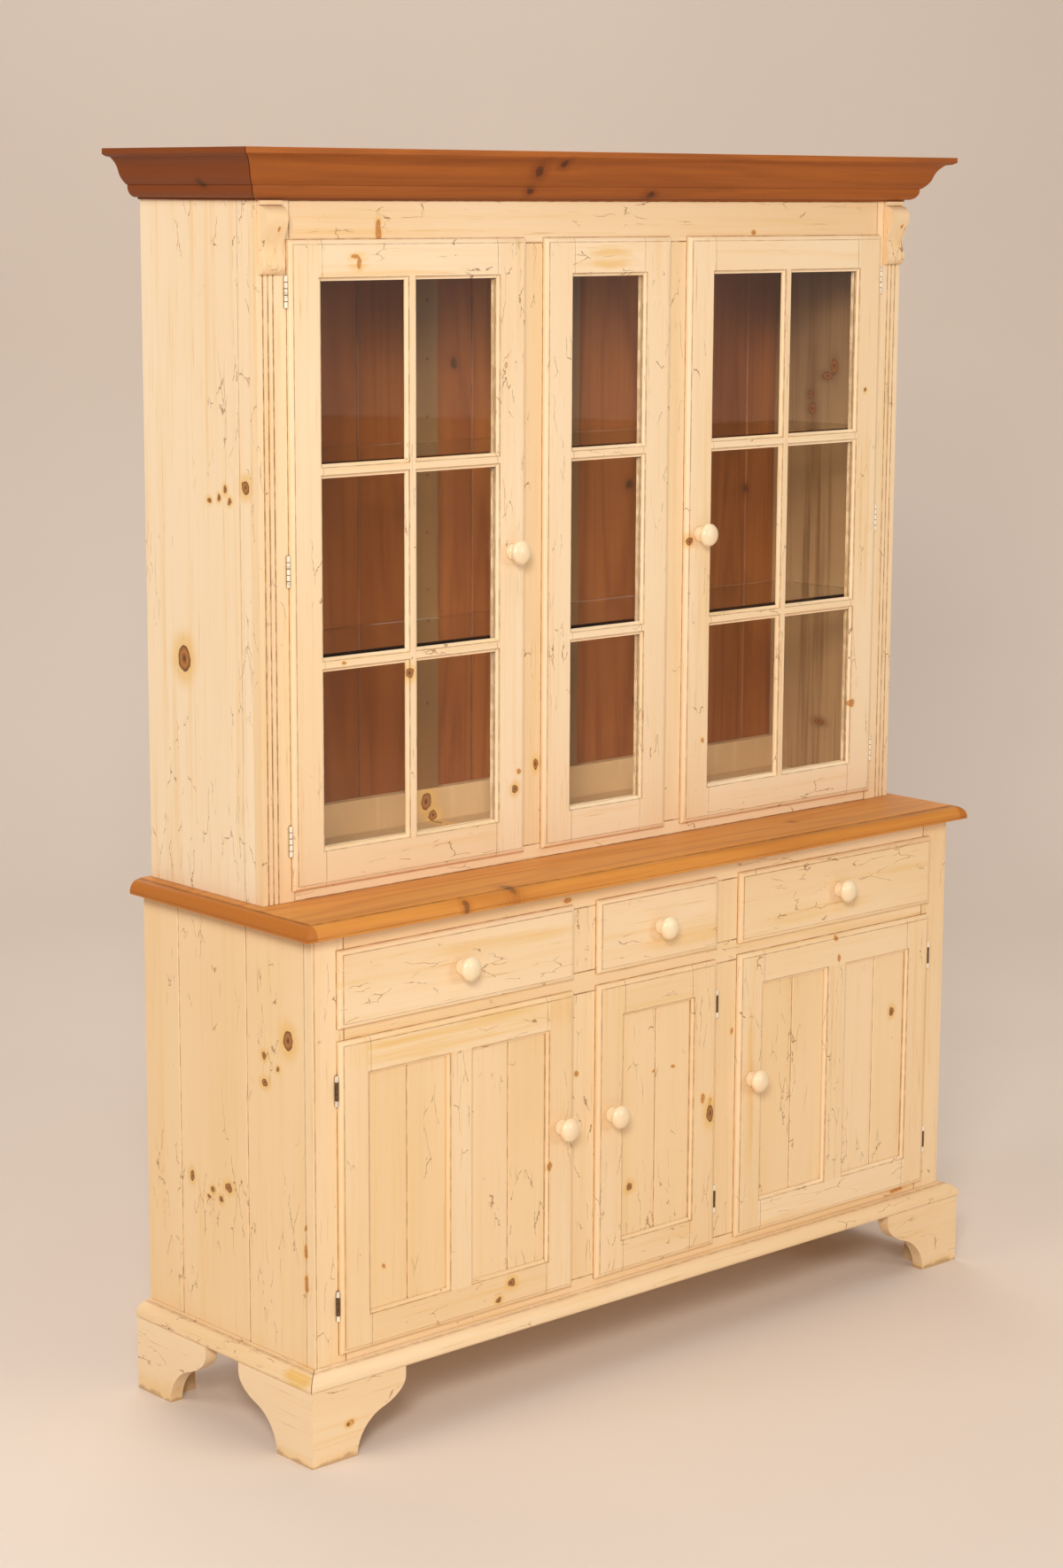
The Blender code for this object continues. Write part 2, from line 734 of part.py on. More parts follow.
def foot_saw():
    """What is sawn away beyond a foot's S-curve, as a slab across the board at Y = 0."""
    lobe = (FOOT_LENGTH, FOOT_LOBE_HEIGHT)
    lobe_handle = (FOOT_LENGTH, (FOOT_LOBE_HEIGHT + FOOT_WAIST[1]) / 2)
    reach = (FOOT_LENGTH - FOOT_WAIST[0]) * 3 / 8
    upper_handle = (FOOT_WAIST[0] + reach, FOOT_WAIST[1] + reach * FOOT_WAIST_SLOPE)
    drop = (FOOT_WAIST[0] - FOOT_TIP) / 2
    lower_handle = (FOOT_WAIST[0] - drop, FOOT_WAIST[1] - drop * FOOT_WAIST_SLOPE)
    tip_handle = (FOOT_TIP, FOOT_WAIST[1] / 2)
    points = bezier(lobe, lobe_handle, upper_handle, FOOT_WAIST)
    points += bezier(FOOT_WAIST, lower_handle, tip_handle, (FOOT_TIP, 0))[1:]
    far = FOOT_LENGTH + PAST
    points += [(FOOT_TIP, -PAST), (far, -PAST), (far, FOOT_LOBE_HEIGHT)]
    bm = plate(points, 2 * FOOT_BOARD + PAST)
    bm.transform(FACING_FRONT)
    return bm


def add_base_moulding(carcass):
    outer = MOULDING_PROJECTION
    fillet = outer - MOULDING_FILLET_INSET
    bottom = FOOT_HEIGHT + GAP
    band_bottom = FOOT_HEIGHT + MOULDING_FILLET
    ovolo_bottom = band_bottom + MOULDING_BAND
    ovolo_top = ovolo_bottom + MOULDING_OVOLO_HEIGHT
    inner = outer - MOULDING_OVOLO_WIDTH
    profile = [(fillet, bottom), (fillet, band_bottom), (outer, band_bottom)]
    profile += quarter((outer, ovolo_bottom), (inner, ovolo_top))
    profile += [(inner, FOOT_HEIGHT + MOULDING_HEIGHT)]
    name = "base_moulding"
    obj = add_moulded(carcass, name, CREAM_PAINT, profile, BASE_HALF, 0, BASE_DEPTH)
    inside = BASE_HALF + GAP
    top = FOOT_HEIGHT + MOULDING_HEIGHT + PAST
    hollow = (-inside, inside, -GAP, BASE_DEPTH + PAST, FOOT_HEIGHT - PAST, top)
    cut(obj, boxes(hollow))


def add_base_carcass(carcass):
    bottom = FOOT_HEIGHT + GAP
    behind_frame = FACE_FRAME + GAP
    inside = BASE_HALF - BOARD
    fronts = [*LOWER_DOORS.values(), *DRAWERS.values()]
    hinged = [(LOWER_DOORS[name], side, False) for name, side in LOWER_HINGE_SIDES.items()]
    obj = face_frame(carcass, "base_face_frame", BASE_HALF, 0, bottom, BASE_TOP, fronts, hinged)
    quirks = bmesh.new()
    for side in SIDES.values():
        x = side * (BASE_HALF - BEAD_WIDTH)
        rod(quirks, (x, 0, bottom - PAST), (x, 0, BASE_TOP + PAST), BEAD_QUIRK)
    cut(obj, quirks)
    for name, side in SIDES.items():
        x0, x1 = sorted((side * inside, side * BASE_HALF))
        panel = boxes((x0, x1, behind_frame, BASE_DEPTH, bottom, BASE_TOP))
        obj = carcass.add("base_side_" + name, panel, CREAM_PAINT, (x0, behind_frame, bottom))
        grooves = bmesh.new()
        for y in SIDE_GROOVES:
            vee(grooves, side * BASE_HALF, y, bottom - PAST, BASE_TOP + PAST)
        cut(obj, grooves)
    back_front = BASE_DEPTH - BASE_BACK
    between = inside - GAP
    back = boxes((-between, between, back_front, BASE_DEPTH, bottom, BASE_TOP))
    carcass.add("base_back", back, RAW_PINE, (0, back_front, bottom))
    floor_top = LOWER_DOOR_BOTTOM + LAP
    depth = (behind_frame, back_front - GAP)
    floor = boxes((-between, between, *depth, floor_top - BOARD, floor_top))
    carcass.add("base_bottom", floor, CREAM_PAINT, (0, behind_frame, floor_top - BOARD))
    add_runner_board(carcass, between, *depth)


def add_runner_board(carcass, between, front, back):
    """The board under the drawers, with a raised guide on each side of every drawer."""
    bottom = RUNNER_TOP - RUNNER_BOARD
    guide_top = RUNNER_TOP + GUIDE_HEIGHT
    points = [(-between, bottom), (-between, guide_top)]
    for outline in DRAWERS.values():
        left, right = inset(outline, LAP)[:2]
        points += [(left, guide_top), (left, RUNNER_TOP), (right, RUNNER_TOP), (right, guide_top)]
    points += [(between, guide_top), (between, bottom)]
    board = plate(points, back - front)
    board.transform(Matrix.Translation((0, (front + back) / 2, 0)) @ FACING_FRONT)
    carcass.add("drawer_runner_board", board, RAW_PINE, (0, front, bottom))


def add_countertop(carcass):
    bottom = BASE_TOP + GAP
    edge_top = BASE_TOP + COUNTER_EDGE
    ovolo_top = edge_top + COUNTER_OVOLO_HEIGHT
    ledge = COUNTER_OVERHANG - COUNTER_OVOLO_WIDTH
    profile = [(COUNTER_OVERHANG, bottom)]
    profile += quarter((COUNTER_OVERHANG, edge_top), (ledge, ovolo_top))
    profile += [(ledge - COUNTER_LEDGE, ovolo_top), (ledge - COUNTER_LEDGE, COUNTER_TOP)]
    add_moulded(carcass, "countertop", HONEY_PINE, profile, BASE_HALF, 0, BASE_DEPTH)


def add_drawers(carcass, knob):
    for name, outline in DRAWERS.items():
        middle_x = (outline[0] + outline[1]) / 2
        middle_z = (outline[2] + outline[3]) / 2
        body = Body("drawer_" + name, (middle_x, 0, middle_z), carcass)
        slab = lipped_slab(outline, 0)
        body.add("drawer_front_" + name, slab, CREAM_PAINT, body.place)
        add_drawer_box(body, "drawer_box_" + name, outline)
        add_knob(body, "drawer_knob_" + name, knob, middle_x, middle_z, 0)


def add_drawer_box(body, name, outline):
    left, right, _, top = inset(outline, LAP)
    left += DRAWER_SIDE_CLEARANCE
    right -= DRAWER_SIDE_CLEARANCE
    front = front_back(0) + GAP
    back = BASE_DEPTH - BASE_BACK - DRAWER_BACK_CLEARANCE
    bottom = RUNNER_TOP + GAP
    height = top - DRAWER_TOP_CLEARANCE
    obj = body.add(name, boxes((left, right, front, back, bottom, height)), RAW_PINE, body.place)
    wall = DRAWER_SIDE
    inside = (left + wall, right - wall, front + wall, back - wall)
    cut(obj, boxes((*inside, bottom + DRAWER_BOTTOM, height + PAST)))


def add_lower_doors(carcass, knob, barrel):
    for name, outline in LOWER_DOORS.items():
        side = LOWER_HINGE_SIDES[name]
        body = Body("door_lower_" + name, (*hinge_axis(outline, side, 0), outline[2]), carcass)
        columns = 1 if name == "centre" else 2
        openings = lights(outline, LOWER_MEMBER, columns, 1, LOWER_MUNTIN, LOWER_MUNTIN)
        frame_name = "lower_door_frame_" + name
        door_frame(body, frame_name, outline, 0, LOWER_MEMBER, openings, PLANK_PANEL)
        panel_name = "lower_door_planks_" + name
        finish = CREAM_PAINT
        panel = sash_filling(body, panel_name, outline, LOWER_MEMBER, 0, PLANK_PANEL, finish)
        grooves = bmesh.new()
        for opening in openings:
            x = (opening[0] + opening[1]) / 2
            front = filling_front(0) + GAP
            vee(grooves, x, front, outline[2], outline[3])
        cut(panel, grooves)
        stile = LOWER_MEMBER / 2
        knob_x = outline[0] + stile if side > 0 else outline[1] - stile
        knob_z = (outline[2] + outline[3]) / 2 + LOWER_KNOB_RAISE
        add_knob(body, "lower_door_knob_" + name, knob, knob_x, knob_z, 0)
        for level, height in hinge_heights(outline, False).items():
            hinge_name = "lower_hinge_" + name + "_" + level
            add_hinge(carcass, hinge_name, barrel, outline, side, 0, height)


# Hutch


def shelf_levels():
    """Undersides of the glass shelves, just above the middle of the doors' bars."""
    rows = lights(UPPER_FRONTS["centre"], UPPER_MEMBER, 1, 3, 0, UPPER_BAR)
    names = ("lower", "upper")
    return {name: row[3] + UPPER_BAR / 2 + SHELF_RISE for name, row in zip(names, rows)}


def shelf_depth():
    """Y of the glass shelves' front and back edges."""
    return HUTCH_SETBACK + FACE_FRAME + SHELF_SETBACK, BATTEN_FRONT - SHELF_CLEARANCE


def pin_heights():
    return [level - GAP - PIN_RADIUS for level in shelf_levels().values()]


def add_hutch_carcass(carcass):
    bottom = COUNTER_TOP + GAP
    behind_frame = HUTCH_SETBACK + FACE_FRAME + GAP
    inside = HUTCH_HALF - BOARD
    for name, side in SIDES.items():
        x0, x1 = sorted((side * inside, side * HUTCH_HALF))
        panel = boxes((x0, x1, behind_frame, HUTCH_BACK, bottom, HUTCH_TOP))
        obj = carcass.add("hutch_side_" + name, panel, CREAM_PAINT, (x0, behind_frame, bottom))
        pins = bmesh.new()
        shelf_front, shelf_back = shelf_depth()
        for z in pin_heights():
            for y in (shelf_front + PIN_EDGE_DISTANCE, shelf_back - PIN_EDGE_DISTANCE):
                root = (side * (inside + PIN_ROOT), y, z)
                rod(pins, root, (side * (inside - PIN_BEARING), y, z), PIN_RADIUS)
        join(obj, pins)
    add_back_planks(carcass, inside - GAP, bottom)
    add_deck(carcass, inside - GAP, behind_frame)
    add_hutch_frame(carcass, bottom)


def add_back_planks(carcass, between, bottom):
    planks = boxes((-between, between, PLANK_FRONT, HUTCH_BACK, bottom, HUTCH_TOP))
    obj = carcass.add("hutch_back_planks", planks, BROWN_PINE, (0, PLANK_FRONT, bottom))
    grooves = bmesh.new()
    x = GAP - HUTCH_HALF + BOARD
    for width in BACK_PLANKS:
        x += width
        vee(grooves, x, PLANK_FRONT, bottom - PAST, HUTCH_TOP + PAST)
    cut(obj, grooves)


def add_deck(carcass, between, front):
    """The deck, the rail along its back and the two battens that rise from the rail."""
    deck_back = PLANK_FRONT - GAP
    deck = boxes((-between, between, front, deck_back, DECK_BOTTOM, DECK_TOP))
    obj = carcass.add("hutch_deck", deck, WHITE_PAINT, (0, front, DECK_BOTTOM))
    rail_top = DECK_TOP + BACK_RAIL_HEIGHT
    half = BATTEN_WIDTH / 2
    middle = DECK_TOP - BOARD / 2
    points = [(-between, middle), (-between, rail_top)]
    for offset in (-MULLION_X, MULLION_X):
        points += [(offset - half, rail_top), (offset - half, HUTCH_TOP)]
        points += [(offset + half, HUTCH_TOP), (offset + half, rail_top)]
    points += [(between, rail_top), (between, middle)]
    upright = plate(points, BATTEN_THICKNESS)
    place = Matrix.Translation((0, deck_back - BATTEN_THICKNESS / 2, 0))
    upright.transform(place @ FACING_FRONT)
    join(obj, upright)
    pins = bmesh.new()
    for z in pin_heights():
        for x in (-MULLION_X, MULLION_X):
            tip = (x, BATTEN_FRONT - SHELF_CLEARANCE - PIN_BEARING, z)
            rod(pins, (x, BATTEN_FRONT + PIN_ROOT, z), tip, PIN_RADIUS)
    join(obj, pins)


def add_hutch_frame(carcass, bottom):
    hinged = [(UPPER_FRONTS[name], side, True) for name, side in UPPER_HINGE_SIDES.items()]
    fronts = UPPER_FRONTS.values()
    front = HUTCH_SETBACK
    name = "hutch_face_frame"
    obj = face_frame(carcass, name, HUTCH_HALF, front, bottom, HUTCH_TOP, fronts, hinged)
    flutes = bmesh.new()
    flute_top = HUTCH_TOP - CORBEL_HEIGHT
    for side in SIDES.values():
        for count in range(FLUTES):
            offset = (count - (FLUTES - 1) / 2) * FLUTE_PITCH
            x = side * (HUTCH_HALF - FLUTE_INSET + offset)
            rod(flutes, (x, front, bottom - PAST), (x, front, flute_top), FLUTE_RADIUS)
    cut(obj, flutes)
    pins = bmesh.new()
    back = front + FACE_FRAME
    for z in pin_heights():
        for x in (-MULLION_X, MULLION_X):
            tip = (x, back + SHELF_SETBACK + PIN_BEARING, z)
            rod(pins, (x, back - PIN_ROOT, z), tip, PIN_RADIUS)
    join(obj, pins)


def add_upper_doors(carcass, knob, barrel):
    front = HUTCH_SETBACK
    for name, side in UPPER_HINGE_SIDES.items():
        outline = UPPER_FRONTS[name]
        axis = hinge_axis(outline, side, front)
        body = Body("door_upper_" + name, (*axis, outline[2]), carcass)
        openings = lights(outline, UPPER_MEMBER, 2, 3, UPPER_MUNTIN, UPPER_BAR)
        frame_name = "upper_door_frame_" + name
        door_frame(body, frame_name, outline, front, UPPER_MEMBER, openings, GLASS_PANE)
        pane_name = "upper_door_glass_" + name
        sash_filling(body, pane_name, outline, UPPER_MEMBER, front, GLASS_PANE, CLEAR_GLASS)
        stile = UPPER_MEMBER / 2
        knob_x = outline[0] + stile if side > 0 else outline[1] - stile
        knob_z = (outline[2] + outline[3]) / 2
        add_knob(body, "upper_door_knob_" + name, knob, knob_x, knob_z, front)
        for level, height in hinge_heights(outline, True).items():
            hinge_name = "upper_hinge_" + name + "_" + level
            add_hinge(carcass, hinge_name, barrel, outline, side, front, height)


def add_centre_light(carcass):
    outline = UPPER_FRONTS["centre"]
    front = HUTCH_SETBACK
    openings = lights(outline, UPPER_MEMBER, 1, 3, UPPER_MUNTIN, UPPER_BAR)
    name = "centre_light_frame"
    door_frame(carcass, name, outline, front, UPPER_MEMBER, openings, GLASS_PANE)
    pane_name = "centre_light_glass"
    sash_filling(carcass, pane_name, outline, UPPER_MEMBER, front, GLASS_PANE, CLEAR_GLASS)


def add_shelves(carcass):
    half = HUTCH_HALF - BOARD - SHELF_CLEARANCE
    front, back = shelf_depth()
    for name, level in shelf_levels().items():
        shelf = boxes((-half, half, front, back, level, level + SHELF_THICKNESS))
        carcass.add("glass_shelf_" + name, shelf, CLEAR_GLASS, (0, front, level))


def add_corbels(carcass):
    """Scrolled brackets in the upper corners of the frame's front, under the cornice."""
    down = CORBEL_HEIGHT
    points = [(0, 0), (CORBEL_CAP[0], 0), CORBEL_CAP, (CORBEL_QUIRK[0], CORBEL_CAP[1])]
    points += reversed(quarter(CORBEL_LOBE, CORBEL_QUIRK))
    for start, end in ((CORBEL_LOBE, CORBEL_WAIST), (CORBEL_WAIST, CORBEL_CURL)):
        middle = (start[1] + end[1]) / 2
        points += bezier(start, (start[0], middle), (end[0], middle), end)[1:]
    points += quarter(CORBEL_CURL, (CORBEL_TAIL, down))[1:] + [(0, down)]
    for name, side in SIDES.items():
        x = side * (HUTCH_HALF - CORBEL_INSET - CORBEL_WIDTH / 2)
        place = (x, HUTCH_SETBACK - GAP, HUTCH_TOP)
        corbel = plate([(out, -depth) for out, depth in points], CORBEL_WIDTH)
        corbel.transform(Matrix.Translation(place) @ FROM_THE_SIDE)
        carcass.add("corbel_" + name, corbel, CREAM_PAINT, place)


def add_cornice(carcass):
    """A crown moulding on the front and both sides of a board that covers the hutch."""
    start = Vector(CORNICE_STEP)
    end = Vector(CORNICE_OGEE_TOP)
    handle = Vector(CORNICE_OGEE_HANDLE)
    steps = [(CORNICE_FILLET[0], GAP), CORNICE_FILLET]
    steps += reversed(quarter(CORNICE_OVOLO_TOP, CORNICE_OVOLO_BOTTOM))
    steps.append((CORNICE_OVOLO_TOP[0], CORNICE_STEP[1]))
    steps += bezier(start, start + handle, end - handle, end)
    edge = CORNICE_NOSE[0]
    steps += [CORNICE_LIP, CORNICE_NOSE, (edge, CORNICE_HEIGHT)]
    profile = [(outset, HUTCH_TOP + height) for outset, height in steps]
    front = HUTCH_SETBACK
    obj = add_moulded(carcass, "cornice", HONEY_PINE, profile, HUTCH_HALF, front, HUTCH_BACK)
    floor = HUTCH_TOP + CORNICE_FLOOR
    low = HUTCH_HALF - CORNICE_SEAT
    high = HUTCH_HALF + edge - CORNICE_WALL
    high += (high - low) * PAST / (CABINET_TOP - floor)
    tray = bmesh.new()
    lower = (-low, low, front + CORNICE_SEAT, PLANK_FRONT, floor)
    upper = (-high, high, front + HUTCH_HALF - high, PLANK_FRONT, CABINET_TOP + PAST)
    stack(tray, [lower, upper])
    cut(obj, tray)


def build():
    carcass = Body("cabinet_carcass")
    knob = knob_mesh()
    barrel = barrel_mesh()
    add_feet(carcass)
    add_base_moulding(carcass)
    add_base_carcass(carcass)
    add_countertop(carcass)
    add_drawers(carcass, knob)
    add_lower_doors(carcass, knob, barrel)
    add_hutch_carcass(carcass)
    add_upper_doors(carcass, knob, barrel)
    add_centre_light(carcass)
    add_shelves(carcass)
    add_corbels(carcass)
    add_cornice(carcass)


build()
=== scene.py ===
"""China cabinet: its finishes and finer pieces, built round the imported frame.

Lengths are in metres, those of knots and like marks in millimetres. Places are in the frame of
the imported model: +Z is up and the front faces -Y.
"""

import json
import math
import random

import bmesh
import bpy
from mathutils import Matrix, Vector


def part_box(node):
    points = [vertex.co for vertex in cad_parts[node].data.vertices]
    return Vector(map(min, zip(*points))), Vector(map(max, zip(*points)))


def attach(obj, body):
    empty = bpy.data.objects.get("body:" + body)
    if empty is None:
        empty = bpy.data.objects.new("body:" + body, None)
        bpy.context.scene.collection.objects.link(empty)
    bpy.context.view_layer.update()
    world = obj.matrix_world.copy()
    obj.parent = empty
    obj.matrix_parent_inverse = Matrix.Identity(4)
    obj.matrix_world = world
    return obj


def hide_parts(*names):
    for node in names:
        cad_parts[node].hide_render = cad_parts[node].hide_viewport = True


bl_info = {
    "name": "China Cabinet",
    "version": (1, 0, 0),
    "blender": (4, 5, 0),
    "location": "3D View > Sidebar > Cabinet",
    "description": "Dresses a glazed china cabinet in painted and stained pine",
    "category": "Object",
}

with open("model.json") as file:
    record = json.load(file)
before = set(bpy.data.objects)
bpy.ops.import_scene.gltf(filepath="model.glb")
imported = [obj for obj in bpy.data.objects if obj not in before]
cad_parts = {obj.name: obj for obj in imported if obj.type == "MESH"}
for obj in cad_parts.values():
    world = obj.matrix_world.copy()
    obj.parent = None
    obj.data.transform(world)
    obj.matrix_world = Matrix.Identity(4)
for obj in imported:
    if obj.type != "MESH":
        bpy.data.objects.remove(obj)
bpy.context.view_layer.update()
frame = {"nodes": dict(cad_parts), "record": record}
NODES = frame["nodes"]
BODY_OF = {
    node: body
    for body, members in frame["record"]["behaviour"]["bodies"].items()
    for node in members
}
POSITIONS = ("left", "centre", "right")
HANDS = {"left": -1, "right": 1}
# Edges of the back's planks along X, grooves of the base's sides along Y, and flutes beside the
# hutch's doors along X
PLANK_EDGES = (-0.562, -0.312, -0.049, 0.190, 0.426)
SIDE_GROOVES = (-0.03345, 0.15455)
FLUTES = (0.7199, 0.73, 0.7401)


# Sizes and colours that a user may change


def kind_of(make, **settings):
    """One kind of property, which is then written as name, description and default."""
    return lambda name, description, default: make(
        name=name, description=description, default=default, **settings
    )


length = kind_of(bpy.props.FloatProperty, min=0.0, precision=4, subtype="DISTANCE", unit="LENGTH")
count = kind_of(bpy.props.IntProperty, min=1)
colour = kind_of(bpy.props.FloatVectorProperty, size=3, min=0.0, max=1.0, subtype="COLOR")


class CabinetSizes(bpy.types.PropertyGroup):
    """Sizes of the mouldings and of the small pieces"""

    curve_steps: count("Curve steps", "Facets in a quarter round of a moulding", 8)
    lip_edge: length("Lip edge", "Square edge at the back of a lip", 0.004)
    lip_mould: length("Lip moulding", "Width of the round on a lip", 0.0075)
    lip_quirk: length("Lip quirk", "Step between the round and the face", 0.0012)
    lip_seat: length("Lip seat", "From the face to the back of the lip", 0.0095)
    rebate: length("Rebate", "How far the back steps in behind the lip", 0.0085)
    sash_mould: length("Sash moulding", "Round on the edges of the lights", 0.0055)
    ledge: length("Ledge", "From the face to the pane or the panel", 0.008)
    groove: length("Groove", "Depth of the groove that holds a pane or a panel", 0.008)
    slack: length("Slack", "Room round a pane or a panel in its groove", 0.0003)
    glazed_member: length("Glazed stile", "Width of a glazed door's stiles and rails", 0.065)
    glazed_muntin: length("Muntin", "Width of the upright glazing bars", 0.024)
    glazed_bar: length("Glazing bar", "Width of the level glazing bars", 0.023)
    panel_member: length("Panelled stile", "Width of a lower door's stiles and rails", 0.063)
    panel_muntin: length("Panel muntin", "Width of a lower door's middle upright", 0.057)
    pane: length("Pane", "Thickness of the glass", 0.003)
    plank_panel: length("Plank panel", "Thickness of a lower door's panel", 0.006)
    knob_sides: count("Knob sides", "Facets round a knob", 48)
    barrel_sides: count("Barrel sides", "Facets round a hinge's barrel", 24)
    hinge_leaf: length("Hinge leaf", "Thickness of a hinge's leaves", 0.0012)
    hinge_reach: length("Hinge reach", "How far a leaf lies on the back of its door", 0.02)
    screw: length("Screw head", "Radius of a hinge's screw heads", 0.0032)
    pin_hole: length("Pin hole", "Radius of the holes for the shelf pins", 0.0026)
    pin_pitch: length("Pin pitch", "From one pin hole to the next", 0.102)


class CabinetColours(bpy.types.PropertyGroup):
    """Colours of the paint, the stain, the knots and the fittings, and of the painted light and shade"""

    cream: colour("Cream", "Cream paint", (0.872, 0.615, 0.342))
    cream_pale: colour("Pale cream", "Where the cream paint lies thickest", (0.925, 0.70, 0.445))
    # Painted light: the hutch's outer left side is toned towards this paler cream as it stands in
    # stronger light; the glazed fronts take a little of it too.
    cream_lit: colour("Palest cream", "Thick paint of the hutch's side", (0.97, 0.81, 0.60))
    resin: colour("Resin", "Yellow where the wood shows through the paint", (0.82, 0.49, 0.13))
    amber: colour("Amber", "Orange-brown resin in the wood", (0.52, 0.19, 0.022))
    # Glaze: real brown gathered in corners and quirks, and also the colour of painted shade in corners
    # and of painted shadow lines round lips, doors and drawers.
    glaze: colour("Glaze", "Brown that has gathered in corners and quirks", (0.30, 0.13, 0.035))
    # Hairline cracks, and also the colour of painted shade in the corners of stained and raw pine and
    # inside slots and holes.
    crack: colour("Crack", "Hairline cracks", (0.23, 0.085, 0.018))
    knob: colour("Knob", "Paint on the knobs", (0.93, 0.765, 0.50))
    # Heart of a knot, and also mixed into the painted shade inside slots and holes.
    knot: colour("Knot", "Heart of a knot", (0.075, 0.020, 0.005))
    knot_ring: colour("Knot ring", "Ring of resin round a knot", (0.42, 0.12, 0.012))
    # Off-white paint darkened as painted shade, as the deck and its rail lie inside the hutch.
    white: colour("White", "Off-white paint inside the hutch", (0.60, 0.37, 0.18))
    olive: colour("Olive", "Battens inside the hutch", (0.23, 0.11, 0.036))
    # Painted shade: the hutch's inner right side in darker colours than its paint, with darker streaks,
    # as it lies in shade.
    shaded: colour("Shaded", "Thinly painted sides inside the hutch", (0.41, 0.235, 0.105))
    shaded_dark: colour("Dark shaded", "Bare streaks of those sides", (0.21, 0.09, 0.028))
    honey: colour("Honey", "Stained pine between its late rings", (0.68, 0.275, 0.048))
    honey_dark: colour("Dark honey", "Late rings of the stained pine", (0.47, 0.15, 0.02))
    cornice: colour("Cornice", "Stain of the cornice", (0.42, 0.12, 0.016))
    cornice_dark: colour("Dark cornice", "Late rings of the cornice", (0.20, 0.046, 0.008))
    brown: colour("Brown", "Stained planks of the back", (0.39, 0.125, 0.024))
    brown_dark: colour("Dark brown", "Late rings of the stained planks", (0.20, 0.05, 0.009))
    raw: colour("Raw pine", "Planed pine without a finish", (0.68, 0.47, 0.26))
    raw_dark: colour("Dark raw pine", "Late rings of planed pine", (0.52, 0.31, 0.13))
    # Bare nickel made dark brown: partly tarnish, partly a painted dark reflection of the surroundings.
    nickel: colour("Nickel", "Plate of the hinges", (0.12, 0.09, 0.06))
    nickel_paint: colour("Nickel paint", "Paint on the hinges' ends", (0.90, 0.80, 0.64))
    glass: colour("Glass", "Tint of the panes", (0.95, 0.96, 0.94))
    # Painted: the shelves' front edges dark brown, for the dark look that a glass edge takes from the
    # light passing through it.
    glass_edge: colour("Glass edge", "Edges of the glass shelves", (0.10, 0.055, 0.03))
    floor: colour("Floor", "Floor and backdrop", (0.77, 0.66, 0.57))


def sizes():
    return bpy.context.scene.cabinet_sizes


def colours():
    return bpy.context.scene.cabinet_colours


# Knots and like marks, where the photograph shows them or as pine has them, in millimetres.
# Each becomes a centre and half-widths in metres, and goes right through its board.

THROUGH = 9.0


def front_marks(*marks):
    """Marks of a front: (x, z, half-width, half-height)."""
    return [((x / 1000, -0.1, z / 1000), (w / 1000, THROUGH, h / 1000)) for x, z, w, h in marks]


def side_marks(*marks):
    """Marks of a side: (y, z, half-width, half-height)."""
    return [((0, y / 1000, z / 1000), (THROUGH, w / 1000, h / 1000)) for y, z, w, h in marks]


def level_marks(*marks):
    """Marks of a level board: (x, y, half-width, half-depth)."""
    return [((x / 1000, y / 1000, 1.0), (w / 1000, d / 1000, THROUGH)) for x, y, w, d in marks]


def strewn_marks(seed, number, low, high):
    """Marks strewn over a rectangle of a side, the same at each run."""
    chance = random.Random(seed)
    found = []
    for _ in range(number):
        place = [chance.uniform(*ends) for ends in zip(low, high)]
        half = chance.uniform(4, 10)
        found.append((*place, half, half * chance.uniform(0.8, 1.7)))
    return side_marks(*found)


